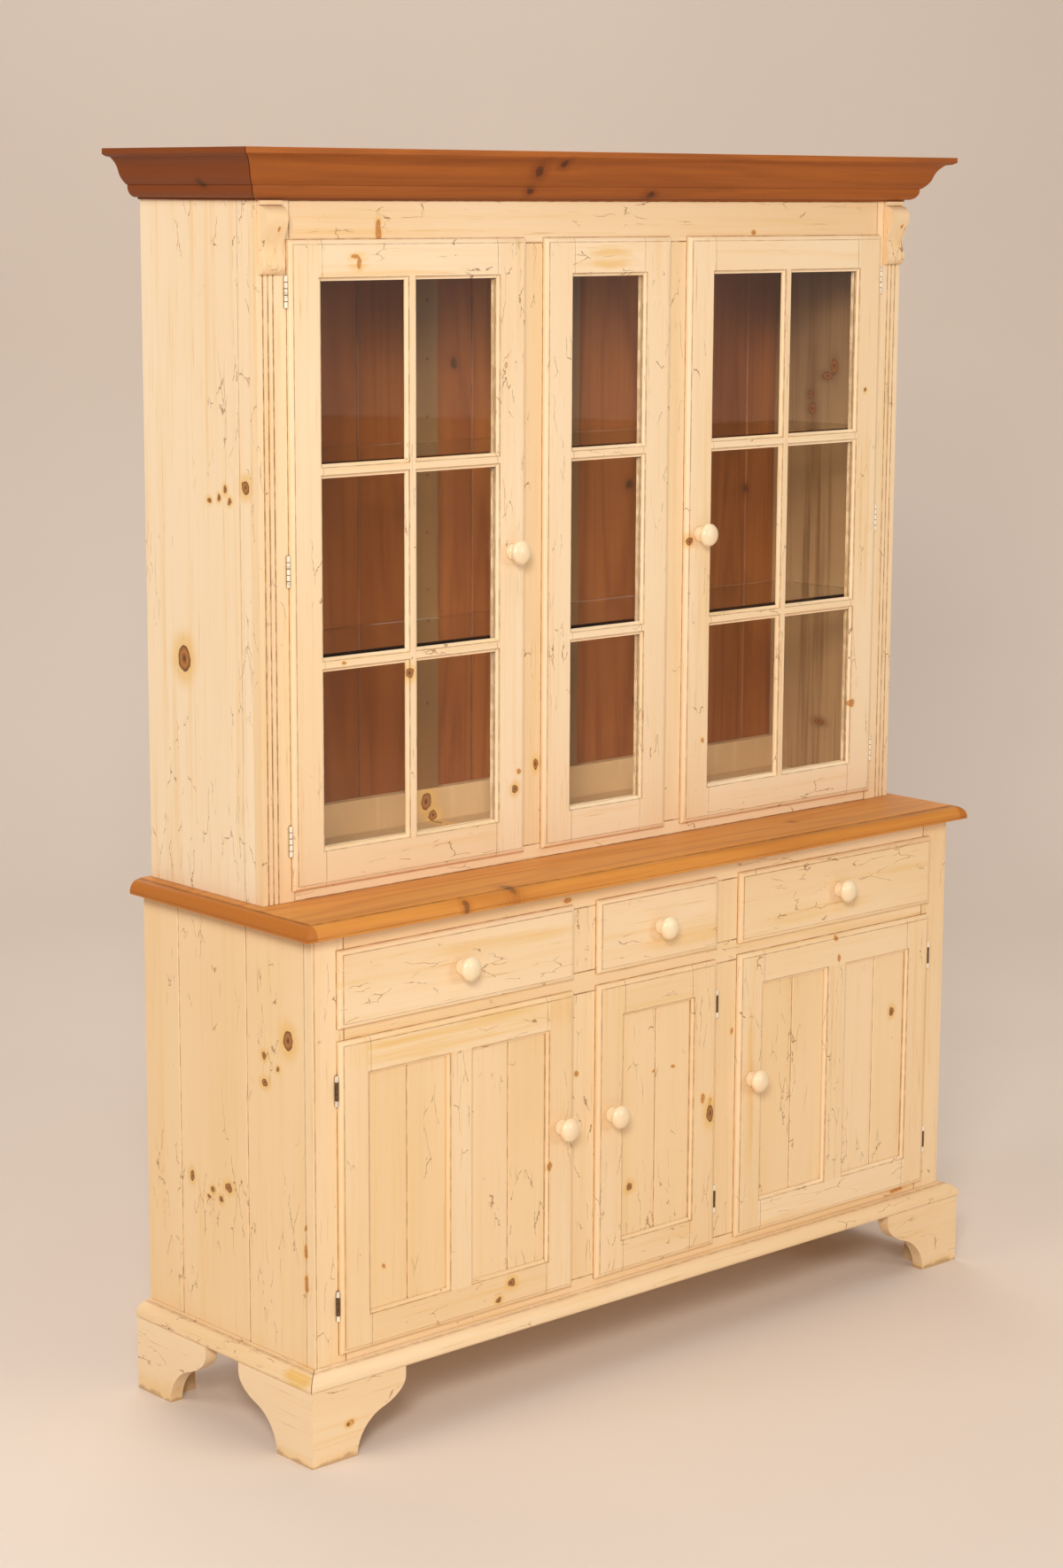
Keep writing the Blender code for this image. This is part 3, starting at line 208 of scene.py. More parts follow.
CORNER_SPOTS = side_marks((-187.6, 351.5, 5, 12), (-189.1, 297.1, 5.5, 16), (-188, 392, 3, 6))
FOOT_MARKS = {"knots": front_marks((-719, 59, 5, 4)), "amber": front_marks((-715, 61, 10, 6))}
MOULDING_MARKS = {"resin": side_marks((-197, 147.2, 34, 18))}
MARKS = {
    "hutch_side_left": {
        "knots": side_marks(
            (66, 1552, 5, 4), (40, 1558, 4, 5), (23, 1572, 4, 6), (11, 1554, 4, 5),
            (-32, 1579, 9, 11), (141, 1286, 16, 21),
        ),
    },
    "hutch_side_right": {
        "inner_knots": side_marks(
            (78, 1718, 8, 15), (94, 1700, 13, 7), (137.5, 1662.3, 8, 8),
            (133.1, 1635.5, 9, 11), (98.6, 1027.5, 12, 6),
        ),
    },
    "base_side_left": {
        "knots": side_marks(
            (-145, 696, 12, 16), (-80, 659, 6, 6), (-116, 643, 4, 4), (-82, 613, 8, 7),
            (124, 407, 6, 9), (21, 410, 9, 7), (66, 396, 5, 5), (77, 382, 5, 3), (42, 385, 5, 6),
        ),
        "amber": CORNER_SPOTS,
    },
    "base_side_right": {"knots": strewn_marks(5, 7, (-170, 200), (200, 800))},
    "hutch_frame": {
        "knots": front_marks((-97, 1580, 3, 5), (-159, 1069, 5, 9)),
        "amber": front_marks((-506, 1981, 6, 21), (360, 1975, 6, 4)),
    },
    "base_frame": {
        "amber": [
            *front_marks(
                (191.9, 558.6, 4, 6), (-188.6, 548.9, 5, 6), (-212.5, 858.3, 9, 5), (650, 164.5, 20, 4.5)
            ),
            *CORNER_SPOTS,
        ],
    },
    "glazed_left": {
        "knots": front_marks((-448, 1257, 6, 8), (-216, 1033, 6, 7)),
        "amber": front_marks(
            (-590, 1287, 5, 3), (-208, 1063, 5, 5), (-562, 1941, 9, 4), (-553, 1931, 4, 10)
        ),
        "resin": front_marks((-556, 1934, 22, 16), (-715, 1300, 14, 620)),
    },
    "glazed_centre": {"resin": front_marks((0, 1934, 50, 20))},
    "glazed_right": {
        "knots": front_marks((199.7, 1433, 7, 7), (655, 1683, 3, 3)),
        "amber": front_marks((636.8, 1095.7, 8, 7), (239, 1067, 4, 5)),
        "resin": front_marks((660, 1450, 14, 160)),
    },
    "panelled_left": {
        "knots": front_marks((-345.2, 209.6, 8, 7), (-374.4, 185.6, 6, 5)),
        "amber": front_marks((-257.2, 399.4, 4, 9)),
        "resin": front_marks((-460, 671, 240, 34)),
    },
    "panelled_centre": {
        "knots": front_marks((129.3, 419, 8.5, 15)),
        "amber": front_marks((129.3, 438, 4, 12), (110.8, 449, 5, 9)),
    },
    "panelled_right": {
        "amber": front_marks((662.4, 164.8, 14, 4), (454.7, 691.1, 5, 5), (462.9, 653.1, 4, 7)),
        "resin": front_marks((228, 430, 14, 150)),
    },
    "panel_left": {"amber": front_marks((-620, 300, 3, 4))},
    "panel_centre": {
        "knots": front_marks((-61.1, 319, 7, 7)),
        "amber": front_marks((42.8, 520.6, 6, 3), (-4.9, 519.9, 4, 3)),
    },
    "panel_right": {"knots": front_marks((620.8, 521.4, 6, 8))},
    "drawer_left": {"resin": front_marks((-380, 810, 160, 14))},
    "drawer_centre": {"resin": front_marks((72.6, 754.6, 120, 16))},
    "drawer_right": {"resin": front_marks((400, 752, 150, 16))},
    "planks": {
        "knots": front_marks(
            (342.2, 1505.7, 11, 11), (360.2, 1093.2, 7, 8), (-91, 1744, 10, 13),
            (655.3, 1479, 9, 10), (-630, 1360, 10, 12), (-420, 1860, 8, 10),
        ),
    },
    "cornice": {
        "knots": front_marks(
            (-196, 2078, 13, 13), (-146, 2090, 10, 7), (-200, 2046, 10, 7), (83, 2040, 13, 7)
        ),
    },
    "cornice_side": {"knots": side_marks((35.5, 2055.4, 14, 10))},
    "counter": {"knots": level_marks((-353, -215, 13, 24), (420, -130, 10, 8), (-462, -232, 8, 10))},
    "deck": {"knots": front_marks((-173, 964, 12, 14), (-158, 937, 10, 10))},
}


# Shader sums


def sum_of(operation, reflected=False):
    """An operator of Socket, which adds the Math node that works it out."""

    def work_out(self, other):
        values = (other, self) if reflected else (self, other)
        return self.nodes.maths(operation, *values)

    return work_out


class Socket:
    """A shader socket in Python sums: an expression adds the Math nodes that work it out."""

    __add__, __radd__ = sum_of("ADD"), sum_of("ADD", True)
    __sub__, __rsub__ = sum_of("SUBTRACT"), sum_of("SUBTRACT", True)
    __mul__, __rmul__ = sum_of("MULTIPLY"), sum_of("MULTIPLY", True)
    __pow__, __rpow__ = sum_of("POWER"), sum_of("POWER", True)

    def __init__(self, nodes, link):
        self.nodes = nodes
        self.link = link

    def __abs__(self):
        return self.nodes.maths("ABSOLUTE", self)


class Nodes:
    """A node tree whose nodes are added one by one."""

    def __init__(self, tree):
        self.tree = tree

    def node(self, kind, settings=None, sockets=None, output=0):
        """Adds a node: its settings first, then the values or links of its sockets."""
        made = self.tree.nodes.new(kind)
        for name, value in (settings or {}).items():
            setattr(made, name, value)
        self.feed(made, sockets or {})
        return Socket(self, made.outputs[output])

    def feed(self, node, sockets):
        for name, value in sockets.items():
            target = node.inputs[name]
            if isinstance(value, Socket):
                self.tree.links.new(value.link, target)
            elif target.type == "RGBA":
                target.default_value = (*value[:3], 1)
            else:
                target.default_value = value

    def maths(self, operation, *values):
        return self.node("ShaderNodeMath", {"operation": operation}, dict(enumerate(values)))


class Finish(Nodes):
    """A material, with its pattern run along a grain."""

    def __init__(self, name, grain="Z", shift=0.0):
        self.material = bpy.data.materials.new(name)
        self.material.use_nodes = True
        super().__init__(self.material.node_tree)
        self.shader = self.tree.nodes["Principled BSDF"]
        self.place = self.node("ShaderNodeTexCoord", output="Object")
        self.grain = grain
        self.shift = (shift, shift * 0.7, shift * 1.3)
        self.rails = None
        self.axes = {}

    def vector(self, operation, *values, output=0):
        sockets = dict(enumerate(values))
        return self.node("ShaderNodeVectorMath", {"operation": operation}, sockets, output)

    def mix(self, factor, first, second):
        """A colour between two: sockets 6 and 7 of the node take colours, and output 2 gives one."""
        sockets = {0: factor, 6: first, 7: second}
        return self.node("ShaderNodeMix", {"data_type": "RGBA"}, sockets, 2)

    def ramp(self, value, low, high):
        """0 up to low, 1 from high on, and smooth between them."""
        settings = {"interpolation_type": "SMOOTHSTEP"}
        return self.node("ShaderNodeMapRange", settings, {"Value": value, 1: low, 2: high})

    def above(self, body, tone, value, low, high, strength=1.0):
        """The body with a tone over it where a value lies above low, in full from high on."""
        return self.mix(self.ramp(value, low, high) * strength, body, tone)

    def below(self, body, tone, value, low, high, strength=1.0):
        """The body with a tone over it where a value lies below high, in full up to low."""
        return self.mix((1 - self.ramp(value, low, high)) * strength, body, tone)

    def waves(self, value, rate):
        """Waves between 0 and 1 along a value."""
        return self.maths("SINE", value * rate) * 0.5 + 0.5

    def noise(self, at, scale, detail=2.0, roughness=0.5, distortion=0.0, output=0):
        names = ("Vector", "Scale", "Detail", "Roughness", "Distortion")
        sockets = dict(zip(names, (at, scale, detail, roughness, distortion)))
        return self.node("ShaderNodeTexNoise", None, sockets, output)

    def voronoi(self, at, scale, settings=None, output=0):
        return self.node("ShaderNodeTexVoronoi", settings, {"Vector": at, "Scale": scale}, output)

    def streaks(self, lengthways, crossways, detail=2.0, roughness=0.5, output=0):
        """Noise that is drawn out along the grain."""
        place = self.stretched(lengthways, crossways)
        return self.noise(place, 1.0, detail, roughness, output=output)

    def stretched(self, lengthways, crossways):
        """The surface's place, scaled along the grain and across it."""
        place = self.stretched_along(self.grain, lengthways, crossways)
        if not self.rails:
            return place
        level = self.stretched_along("X", lengthways, crossways)
        sockets = {0: self.rails, 4: place, 5: level}
        return self.node("ShaderNodeMix", {"data_type": "VECTOR"}, sockets, 1)

    def stretched_along(self, grain, lengthways, crossways):
        scale = [lengthways if axis == grain else crossways for axis in "XYZ"]
        return self.vector("MULTIPLY_ADD", self.place, scale, self.shift)

    def axis(self, name):
        if name not in self.axes:
            number = "XYZ".index(name)
            self.axes[name] = self.node("ShaderNodeSeparateXYZ", None, {0: self.place}, number)
        return self.axes[name]

    def hollows(self, distance):
        """How far a point is shut in by what stands near it, by ambient occlusion, for painted shade in
        corners.
        """
        sockets = {"Distance": distance}
        return 1 - self.node("ShaderNodeAmbientOcclusion", {"samples": 6}, sockets, "AO")

    def bump(self, height, strength, distance):
        sockets = {"Height": height, "Strength": strength, "Distance": distance}
        return self.node("ShaderNodeBump", None, sockets)

    def material_with(self, **values):
        """The material, once its shader has been given these values."""
        self.feed(self.shader, {name.replace("_", " "): value for name, value in values.items()})
        return self.material


def joined(operation, values):
    """The least or the most of several sockets."""
    found = values[0]
    for value in values[1:]:
        found = found.nodes.maths(operation, found, value)
    return found


def blot_distance(finish, blots):
    """How far a point is from the nearest blot, in that blot's own half-widths."""
    wobble = finish.noise(finish.place, 70.0, 2.0, output="Color")
    moved = finish.vector("MULTIPLY_ADD", wobble, [0.009] * 3, finish.place)
    place = finish.vector("SUBTRACT", moved, [0.0045] * 3)
    reaches = []
    for centre, half_widths in blots:
        away = finish.vector("SUBTRACT", place, centre)
        scaled = finish.vector("DIVIDE", away, half_widths)
        reaches.append(finish.vector("LENGTH", scaled, output="Value"))
    return joined("MINIMUM", reaches)


def line_distance(finish, line, place):
    """How far a point is from a line: across an axis, along a corner's mitre, or a rectangle
    of a front that is drawn out by a step."""
    if line == "mitre":
        return abs(abs(finish.axis("X")) + finish.axis("Y") - place)
    if line in ("X", "Y", "Z"):
        return abs(finish.axis(line) - place)
    x0, x1, z0, z1 = line
    across = abs(finish.axis("X") - (x0 + x1) / 2) - (x1 - x0) / 2
    upward = abs(finish.axis("Z") - (z0 + z1) / 2) - (z1 - z0) / 2
    return abs(joined("MAXIMUM", [across, upward]) - place)


def drawn_lines(finish, lines, width):
    """1 on hairlines of uneven strength."""
    distances = [line_distance(finish, *line) for line in lines]
    waver = finish.noise(finish.place, 46.0, 2.0)
    drawn = 1 - finish.ramp(joined("MINIMUM", distances), width * 0.35, width)
    return drawn * (0.5 + finish.ramp(waver, 0.36, 0.6) * 0.5)


def hairline_cracks(finish):
    """Thin broken cracks that run with the grain, in scattered patches."""
    bend = finish.streaks(20.0, 40.0, 3.0, 0.6, "Color")
    wavy = finish.vector("MULTIPLY_ADD", bend, [0.55] * 3, finish.stretched(9.0, 38.0))
    edge = finish.voronoi(wavy, 1.0, {"feature": "DISTANCE_TO_EDGE"})
    patches = finish.streaks(3.8, 9.0, 2.0, 0.55)
    breaks = finish.streaks(21.0, 50.0, 1.0)
    crazed_wave = finish.streaks(60.0, 110.0, 1.0)
    cracks = (1 - finish.ramp(edge, 0.004, 0.017)) * finish.ramp(breaks, 0.5, 0.56)
    crazing = 1 - finish.ramp(abs(crazed_wave - 0.5), 0.003, 0.016)
    tangle = crazing * finish.ramp(patches, 0.66, 0.69) * finish.ramp(breaks, 0.47, 0.54)
    return joined("MAXIMUM", [cracks * finish.ramp(patches, 0.5, 0.56), tangle * 0.7])


def small_specks(finish):
    """Tiny brown specks, few and far between."""
    place = finish.vector("ADD", finish.place, finish.shift)
    cells = finish.voronoi(place, 40.0, None, "Distance")
    tones = finish.voronoi(place, 40.0, None, "Color")
    chance = finish.node("ShaderNodeSeparateColor", None, {0: tones})
    return (1 - finish.ramp(cells, 0.03, 0.06)) * finish.ramp(chance, 0.93, 0.94)


def with_knots(finish, body, knots, around=None):
    """Knots with a dark bark line, brown rings and a dark heart."""
    tint = colours()
    reach = blot_distance(finish, knots)
    ringed = finish.mix(finish.waves(reach, 19.0) * 0.5, tint.knot_ring, tint.knot)
    body = finish.below(body, around or tint.resin, reach, 0.9, 3.0, 0.7)
    body = finish.below(body, ringed, reach, 0.88, 1.06, 0.85)
    body = finish.below(body, tint.knot, abs(reach - 0.94), 0.04, 0.15, 0.8)
    return finish.below(body, tint.knot, reach, 0.18, 0.42, 0.8)


def with_amber(finish, body, blots):
    """Orange-brown streaks and drops of resin."""
    tint = colours()
    reach = blot_distance(finish, blots)
    body = finish.below(body, tint.resin, reach, 0.95, 1.9, 0.4)
    strength = 0.72 + finish.waves(reach, 11.0) * 0.24
    return finish.below(body, tint.amber, reach, 0.85, 1.06, strength)


def plank_number(finish, axis, edges):
    """Counts the plank edges that a point lies beyond, and adds a fraction."""
    return sum(finish.maths("GREATER_THAN", finish.axis(axis), edge) for edge in edges) + 0.37


def plank_chance(finish, number):
    """A chance value from 0 to 1 for each plank."""
    return finish.node("ShaderNodeTexWhiteNoise", {"noise_dimensions": "1D"}, {"W": number})


def inside_rails(finish, half_width, levels):
    """1 on the level rails of a face frame, whose grain runs along X."""
    across = finish.maths("LESS_THAN", abs(finish.axis("X")), half_width)
    height = finish.axis("Z")
    inside = [
        finish.maths("LESS_THAN", abs(height - (low + high) / 2), (high - low) / 2)
        for low, high in levels
    ]
    return across * joined("MAXIMUM", inside)


def painted(name, grain, marks=None, shift=0.0, **more):
    """Cream paint over knotty pine with its glazing, cracks and knots, and painted shade and shadow
    lines.
    """
    tint = colours()
    marks = MARKS.get(name, {}) if marks is None else marks
    finish = Finish(f"paint_{name}_{grain.lower()}", grain, shift)
    if "rails" in more:
        finish.rails = inside_rails(finish, *more["rails"])
    broad = finish.streaks(0.8, 3.0, 3.0)
    streaks = finish.streaks(1.5, 58.0, 4.0, 0.6)
    hairs = finish.streaks(6.5, 260.0, 3.0, 0.6)
    brush = finish.streaks(4.0, 150.0)
    body = finish.above(tint.cream, tint.cream_pale, broad, 0.34, 0.64)
    body = finish.mix(more.get("tone", 0.0), body, more.get("toned", tint.resin))
    if "planks" in more:
        chance = plank_chance(finish, plank_number(finish, *more["planks"]))
        body = finish.mix(chance * 0.16, body, tint.resin)
    shown = more.get("grain_strength", 1.0)
    body = finish.above(body, tint.resin, streaks, 0.49, 0.76, 0.42 * shown)
    body = finish.above(body, tint.resin, hairs, 0.56, 0.75, 0.36 * shown)
    body = finish.above(body, tint.glaze, hairs, 0.65, 0.77, 0.32 * shown)
    body = finish.above(body, tint.cream_pale, brush, 0.5, 0.8, 0.22)
    if "resin" in marks:
        strength = (0.15 + finish.ramp(streaks, 0.38, 0.58) * 0.85) * more.get("resin_strength", 0.6)
        reach = blot_distance(finish, marks["resin"])
        body = finish.below(body, tint.resin, reach, 0.6, 1.3, strength)
    if "amber" in marks:
        body = with_amber(finish, body, marks["amber"])
    if "knots" in marks:
        body = with_knots(finish, body, marks["knots"])
    cracks = hairline_cracks(finish)
    body = finish.mix(cracks * 0.7, body, tint.crack)
    body = finish.mix(small_specks(finish) * 0.8, body, tint.knot_ring)
    # Dark drawn lines. Lines are joints, quirks and flutes. Outlines are painted shadow lines in the gaps
    # round doors and drawers and at the steps of lips and lights, partly glaze; round the rails they are
    # joints.
    for kind, width, strength in (("line", 0.0011, 0.6), ("outline", 0.001, 0.55)):
        if kind + "s" in more:
            drawn = drawn_lines(finish, more[kind + "s"], more.get(kind + "_width", width))
            body = finish.mix(drawn * more.get(kind + "_strength", strength), body, tint.glaze)
    # Painted shade: the glaze colour laid into corners and crevices by ambient occlusion, partly real
    # glaze and partly the shade that falls there.
    shut = finish.hollows(0.005) + hairs * 0.1
    body = finish.above(body, tint.glaze, shut, 0.35, 1.0, 0.6)
    if "worn" in more:
        worn = more["worn"]
        ragged = finish.axis("Z") + finish.noise(finish.place, 26.0, 4.0) * 0.03
        body = finish.below(body, tint.resin, ragged, worn * 0.6, worn, 0.3)
        # Darker in a ragged band at the very bottom, towards the floor.
        body = finish.below(body, tint.glaze, ragged, 0.017, 0.024, 0.5)
    # Painted shade on the inner face of the hutch's right side, darker still towards the top under the
    # frieze and the cornice.
    if "inner" in more:
        shade = finish.above(tint.shaded, tint.shaded_dark, streaks, 0.42, 0.75)
        height = finish.axis("Z") + broad * 0.3
        shade = finish.above(shade, tint.shaded_dark, height, 1.3, 2.1, 0.6)
        if "inner_knots" in marks:
            shade = with_knots(finish, shade, marks["inner_knots"], tint.shaded_dark)
        inner = more["inner"]
        body = finish.below(body, shade, abs(finish.axis("X")), inner - 0.001, inner)
    return finish.material_with(
        Base_Color=body,
        Roughness=0.4 + brush * 0.18 + cracks * 0.2,
        Normal=finish.bump(hairs * 0.35 + streaks * 0.3 - cracks * 0.4, 0.3, 0.0006),
    )


def pine(name, grain, stain, shift=0.0, rough=0.55, coat=0.0, **more):
    """Stained or raw pine: growth rings, fine grain, knots, a tone for each plank, and painted shade in
    corners.
    """
    tint = colours()
    light, dark = getattr(tint, stain), getattr(tint, stain + "_dark")
    finish = Finish(f"pine_{name}_{grain.lower()}", grain, shift)
    place = finish.stretched(0.55, 7.5)
    if "planks" in more:
        number = plank_number(finish, *more["planks"])
        push = finish.node("ShaderNodeCombineXYZ", None, {0: number * 3.7, 2: number * 5.3})
        place = finish.vector("ADD", place, push)
    broad = finish.noise(place, 1.0, 2.0, 0.45, 0.3)
    rings = finish.waves(broad, 70.0)
    fine = finish.streaks(12.0, 480.0)
    streaks = finish.streaks(2.4, 95.0, 3.0, 0.6)
    late = rings**2.2 * more.get("ring_strength", 0.5) + finish.ramp(streaks, 0.42, 0.75) * 0.4
    body = finish.mix(late, light, dark)
    body = finish.above(body, dark, broad, 0.35, 0.7, 0.35)
    body = finish.above(body, dark, fine, 0.55, 0.75, 0.3)
    if "planks" in more:
        axis, edges = more["planks"]
        body = finish.mix(plank_chance(finish, number) * 0.5, body, dark)
        seams = drawn_lines(finish, [(axis, edge) for edge in edges], 0.0022)
        body = finish.mix(seams, body, tint.knot)
    if "clouds" in more:
        smoke = finish.streaks(2.2, 6.0, 3.0, 0.55)
        body = finish.above(body, dark, smoke, 0.5, 0.7, more["clouds"])
    if "shade" in more:
        body = finish.mix(more["shade"](finish), body, dark)
    if "knots" in MARKS.get(name, {}):
        reach = blot_distance(finish, MARKS[name]["knots"])
        strength = 0.25 + finish.waves(reach, 14.0) * 0.5
        body = finish.below(body, dark, reach, 0.9, 2.4, strength)
        body = finish.below(body, tint.knot, reach, 0.35, 1.05, more.get("knot_strength", 0.85))
    if "lines" in more:
        drawn = drawn_lines(finish, more["lines"], more.get("line_width", 0.0011))
        body = finish.mix(drawn * more.get("line_strength", 0.5), body, tint.knot)
    # Painted shade: darkening in corners and crevices by ambient occlusion, in the dark colour of the
    # cracks.
    body = finish.above(body, tint.crack, finish.hollows(0.008), 0.3, 1.0, 0.75)
    return finish.material_with(
        Base_Color=body,
        Roughness=rough + streaks * 0.14,
        Specular_IOR_Level=0.3,
        Coat_Weight=coat,
        Coat_Roughness=0.25,
        Normal=finish.bump(fine * 0.4 - rings * 0.25, 0.22, 0.0005),
    )


def inner_paint():
    """Off-white paint of the deck and its rail, darkened as painted shade, and the duller battens that
    stand on it.
    """
    tint = colours()
    finish = Finish("paint_deck")
    cloud = finish.noise(finish.place, 4.0, 4.0)
    brush = finish.noise(finish.vector("MULTIPLY", finish.place, (40.0, 40.0, 4.0)), 1.0, 3.0)
    body = finish.above(tint.white, tint.raw, cloud, 0.35, 0.7, 0.25)
    body = finish.above(body, tint.cream_pale, brush, 0.5, 0.8, 0.2)
    body = with_knots(finish, body, MARKS["deck"]["knots"])
    rail_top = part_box("hutch_deck")[0].z + 0.0785
    # The battens above the rail darker, in olive streaked with the glaze colour.
    stained = finish.above(tint.olive, tint.glaze, brush, 0.42, 0.7, 0.5)
    body = finish.above(body, stained, finish.axis("Z"), rail_top, rail_top + 0.002)
    # Painted shade: the glaze colour laid into corners by ambient occlusion.
    body = finish.above(body, tint.glaze, finish.hollows(0.01), 0.3, 1.0, 0.7)
    bump = finish.bump(brush, 0.15, 0.0005)
    return finish.material_with(Base_Color=body, Roughness=0.5 + brush * 0.12, Normal=bump)


def nickel_plate():
    """Dull nickel, dark both as tarnish and as a painted dark reflection, with darker wear."""
    finish = Finish("nickel_plate")
    wear = finish.noise(finish.place, 260.0, 4.0, 0.6)
    return finish.material_with(
        Base_Color=finish.above(colours().nickel, colours().glaze, wear, 0.45, 0.7, 0.6),
        Metallic=1 - wear * 0.3,
        Roughness=0.3 + wear * 0.25,
        Normal=finish.bump(wear, 0.1, 0.0003),
    )


def daubed_nickel():
    """Nickel that the paint has gone over."""
    finish = Finish("daubed_nickel")
    traces = finish.noise(finish.place, 120.0, 3.0)
    return finish.material_with(
        Base_Color=finish.above(colours().nickel_paint, colours().nickel, traces, 0.5, 0.65, 0.35),
        Roughness=0.35 + traces * 0.2,
        Normal=finish.bump(traces, 0.12, 0.0003),
    )


def dark_slot(name):
    """Painted shade for the dark inside of a small hole or slot; its dust noise only mottles the dark."""
    finish = Finish(name)
    dust = finish.noise(finish.place, 300.0)
    body = finish.mix(dust, colours().knot, colours().crack)
    return finish.material_with(Base_Color=body, Roughness=0.8 + dust * 0.1)


def knob_paint(node, x, z):
    """Smooth cream paint, a little paler and glossier than the boards."""
    tint = colours()
    finish = Finish("paint_" + node)
    centred = finish.vector("SUBTRACT", finish.place, (x, 0, z))
    rings = finish.noise(finish.vector("MULTIPLY", centred, (60.0, 9.0, 60.0)), 1.0, 3.0)
    cloud = finish.noise(finish.place, 38.0, 2.0)
    body = finish.above(tint.cream_pale, tint.knob, cloud, 0.35, 0.7)
    body = finish.above(body, tint.resin, rings, 0.55, 0.8, 0.2)
    # Painted shade: the glaze colour laid into the corners round the knob by ambient occlusion.
    body = finish.above(body, tint.glaze, finish.hollows(0.006), 0.3, 1.0, 0.6)
    return finish.material_with(
        Base_Color=body,
        Roughness=0.27 + rings * 0.12,
        Coat_Weight=0.25,
        Coat_Roughness=0.2,
        Normal=finish.bump(rings, 0.1, 0.0004),
    )


def clear_glass(name, edge_at=None):
    """Window glass that lets the lamps' light pass straight through."""
    tint = colours()
    finish = Finish(name)
    smear = finish.noise(finish.place, 9.0, 4.0, 0.6)
    body = tint.glass
    if edge_at is not None:
        # Painted dark look of the shelves' front edges.
        edge = finish.axis("Y")
        body = finish.below(body, tint.glass_edge, edge, edge_at + 0.0006, edge_at + 0.0012)
    finish.material_with(
        Base_Color=body,
        Roughness=0.012 + finish.ramp(smear, 0.5, 0.8) * 0.03,
        Transmission_Weight=1.0,
        IOR=1.34,
        Specular_IOR_Level=0.2,
    )
    shadow = finish.node("ShaderNodeLightPath", output="Is Shadow Ray")
    clear = finish.node("ShaderNodeBsdfTransparent", None, {0: tint.glass})
    sockets = {0: shadow, 1: Socket(finish, finish.shader.outputs[0]), 2: clear}
    pane = finish.node("ShaderNodeMixShader", None, sockets)
    finish.feed(finish.tree.nodes["Material Output"], {"Surface": pane})
    return finish.material


# Meshes

MERGE_DISTANCE = 0.000002
SHARP_ANGLE = math.radians(32.0)


def add_object(name, data):
    made = bpy.data.objects.new(name, data)
    bpy.context.scene.collection.objects.link(made)
    return made


def new_piece(name, bm, body, finishes, replaced=()):
    """A piece in place on its body, which stands for the given nodes of the frame."""
    bmesh.ops.remove_doubles(bm, verts=bm.verts, dist=MERGE_DISTANCE)
    bmesh.ops.recalc_face_normals(bm, faces=bm.faces)
    mesh = bpy.data.meshes.new(name)
    bm.to_mesh(mesh)
    bm.free()
    mesh.shade_smooth()
    mesh.set_sharp_from_angle(angle=SHARP_ANGLE)
    obj = add_object(name, mesh)
    for finish in finishes:
        mesh.materials.append(finish)
    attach(obj, body)
    if replaced:
        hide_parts(*replaced)


def dress(node, bm, finishes, prefix="dressed_"):
    """A piece that takes the place of one node of the frame."""
    new_piece(prefix + node, bm, BODY_OF[node], finishes, (node,))


def cover(node, finish):
    for slot in NODES[node].material_slots:
        slot.material = finish


def corners_of(node):
    """The rectangle that a node fills, seen from the front, and its nearest and farthest y."""
    low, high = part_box(node)
    return (low.x, high.x, low.z, high.z), low.y, high.y


def take_in(bm, other):
    """Adds a mesh to another."""
    mesh = bpy.data.meshes.new("part")
    other.to_mesh(mesh)
    other.free()
    bm.from_mesh(mesh)
    bpy.data.meshes.remove(mesh)


def quarter(start, end):
    """Points of a quarter round that leaves its start along the second coordinate."""
    steps = sizes().curve_steps
    points = []
    for step in range(steps + 1):
        turn = math.pi / 2 * step / steps
        across = start[0] + (end[0] - start[0]) * (1 - math.cos(turn))
        points.append((across, start[1] + (end[1] - start[1]) * math.sin(turn)))
    return points


def bezier(points, steps):
    """Points along a cubic curve, from its start to its end."""
    found = []
    for step in range(steps + 1):
        t = step / steps
        weights = ((1 - t) ** 3, 3 * t * (1 - t) ** 2, 3 * t * t * (1 - t), t**3)
        point = [sum(map(math.prod, zip(weights, pulls))) for pulls in zip(*points)]
        found.append(tuple(point))
    return found


def loft(bm, rings, capped=False):
    """Joins closed rings of points, one after the other. Returns the vertices of each."""
    made = [[bm.verts.new(point) for point in ring] for ring in rings]
    for near, far in zip(made, made[1:]):
        for corner in range(len(near)):
            after = (corner + 1) % len(near)
            bm.faces.new((near[corner], near[after], far[after], far[corner]))
    if capped:
        bm.faces.new(made[0])
        bm.faces.new(made[-1][::-1])
    return made


def board(bm, outline, low, high, place=lambda x, y, z: (x, y, z)):
    """A flat outline drawn out from low to high; place turns (u, v, depth) into a point."""
    loft(bm, [[place(u, v, depth) for u, v in outline] for depth in (low, high)], True)


def lathe(bm, profile, sides):
    """Turns a line of (radius, height) points, whose ends lie on the axis, round Z."""
    turns = [2 * math.pi * step / sides for step in range(sides)]
    rings = [
        [(radius * math.cos(turn), radius * math.sin(turn), height) for turn in turns]
        for radius, height in profile[1:-1]
    ]
    made = loft(bm, rings)
    for ring, (_, height) in ((made[0], profile[0]), (made[-1], profile[-1])):
        end = bm.verts.new((0, 0, height))
        for near, after in zip(ring, ring[1:] + ring[:1]):
            bm.faces.new((end, near, after))


def add_turned(bm, profile, sides, place, turn):
    """Adds a turned piece that is tipped round X and moved to its place."""
    turned = bmesh.new()
    lathe(turned, profile, sides)
    turned.transform(Matrix.Translation(place) @ Matrix.Rotation(turn, 4, "X"))
    take_in(bm, turned)


def shrunk(rect, amount):
    x0, x1, z0, z1 = rect
    return (x0 + amount, x1 - amount, z0 + amount, z1 - amount)


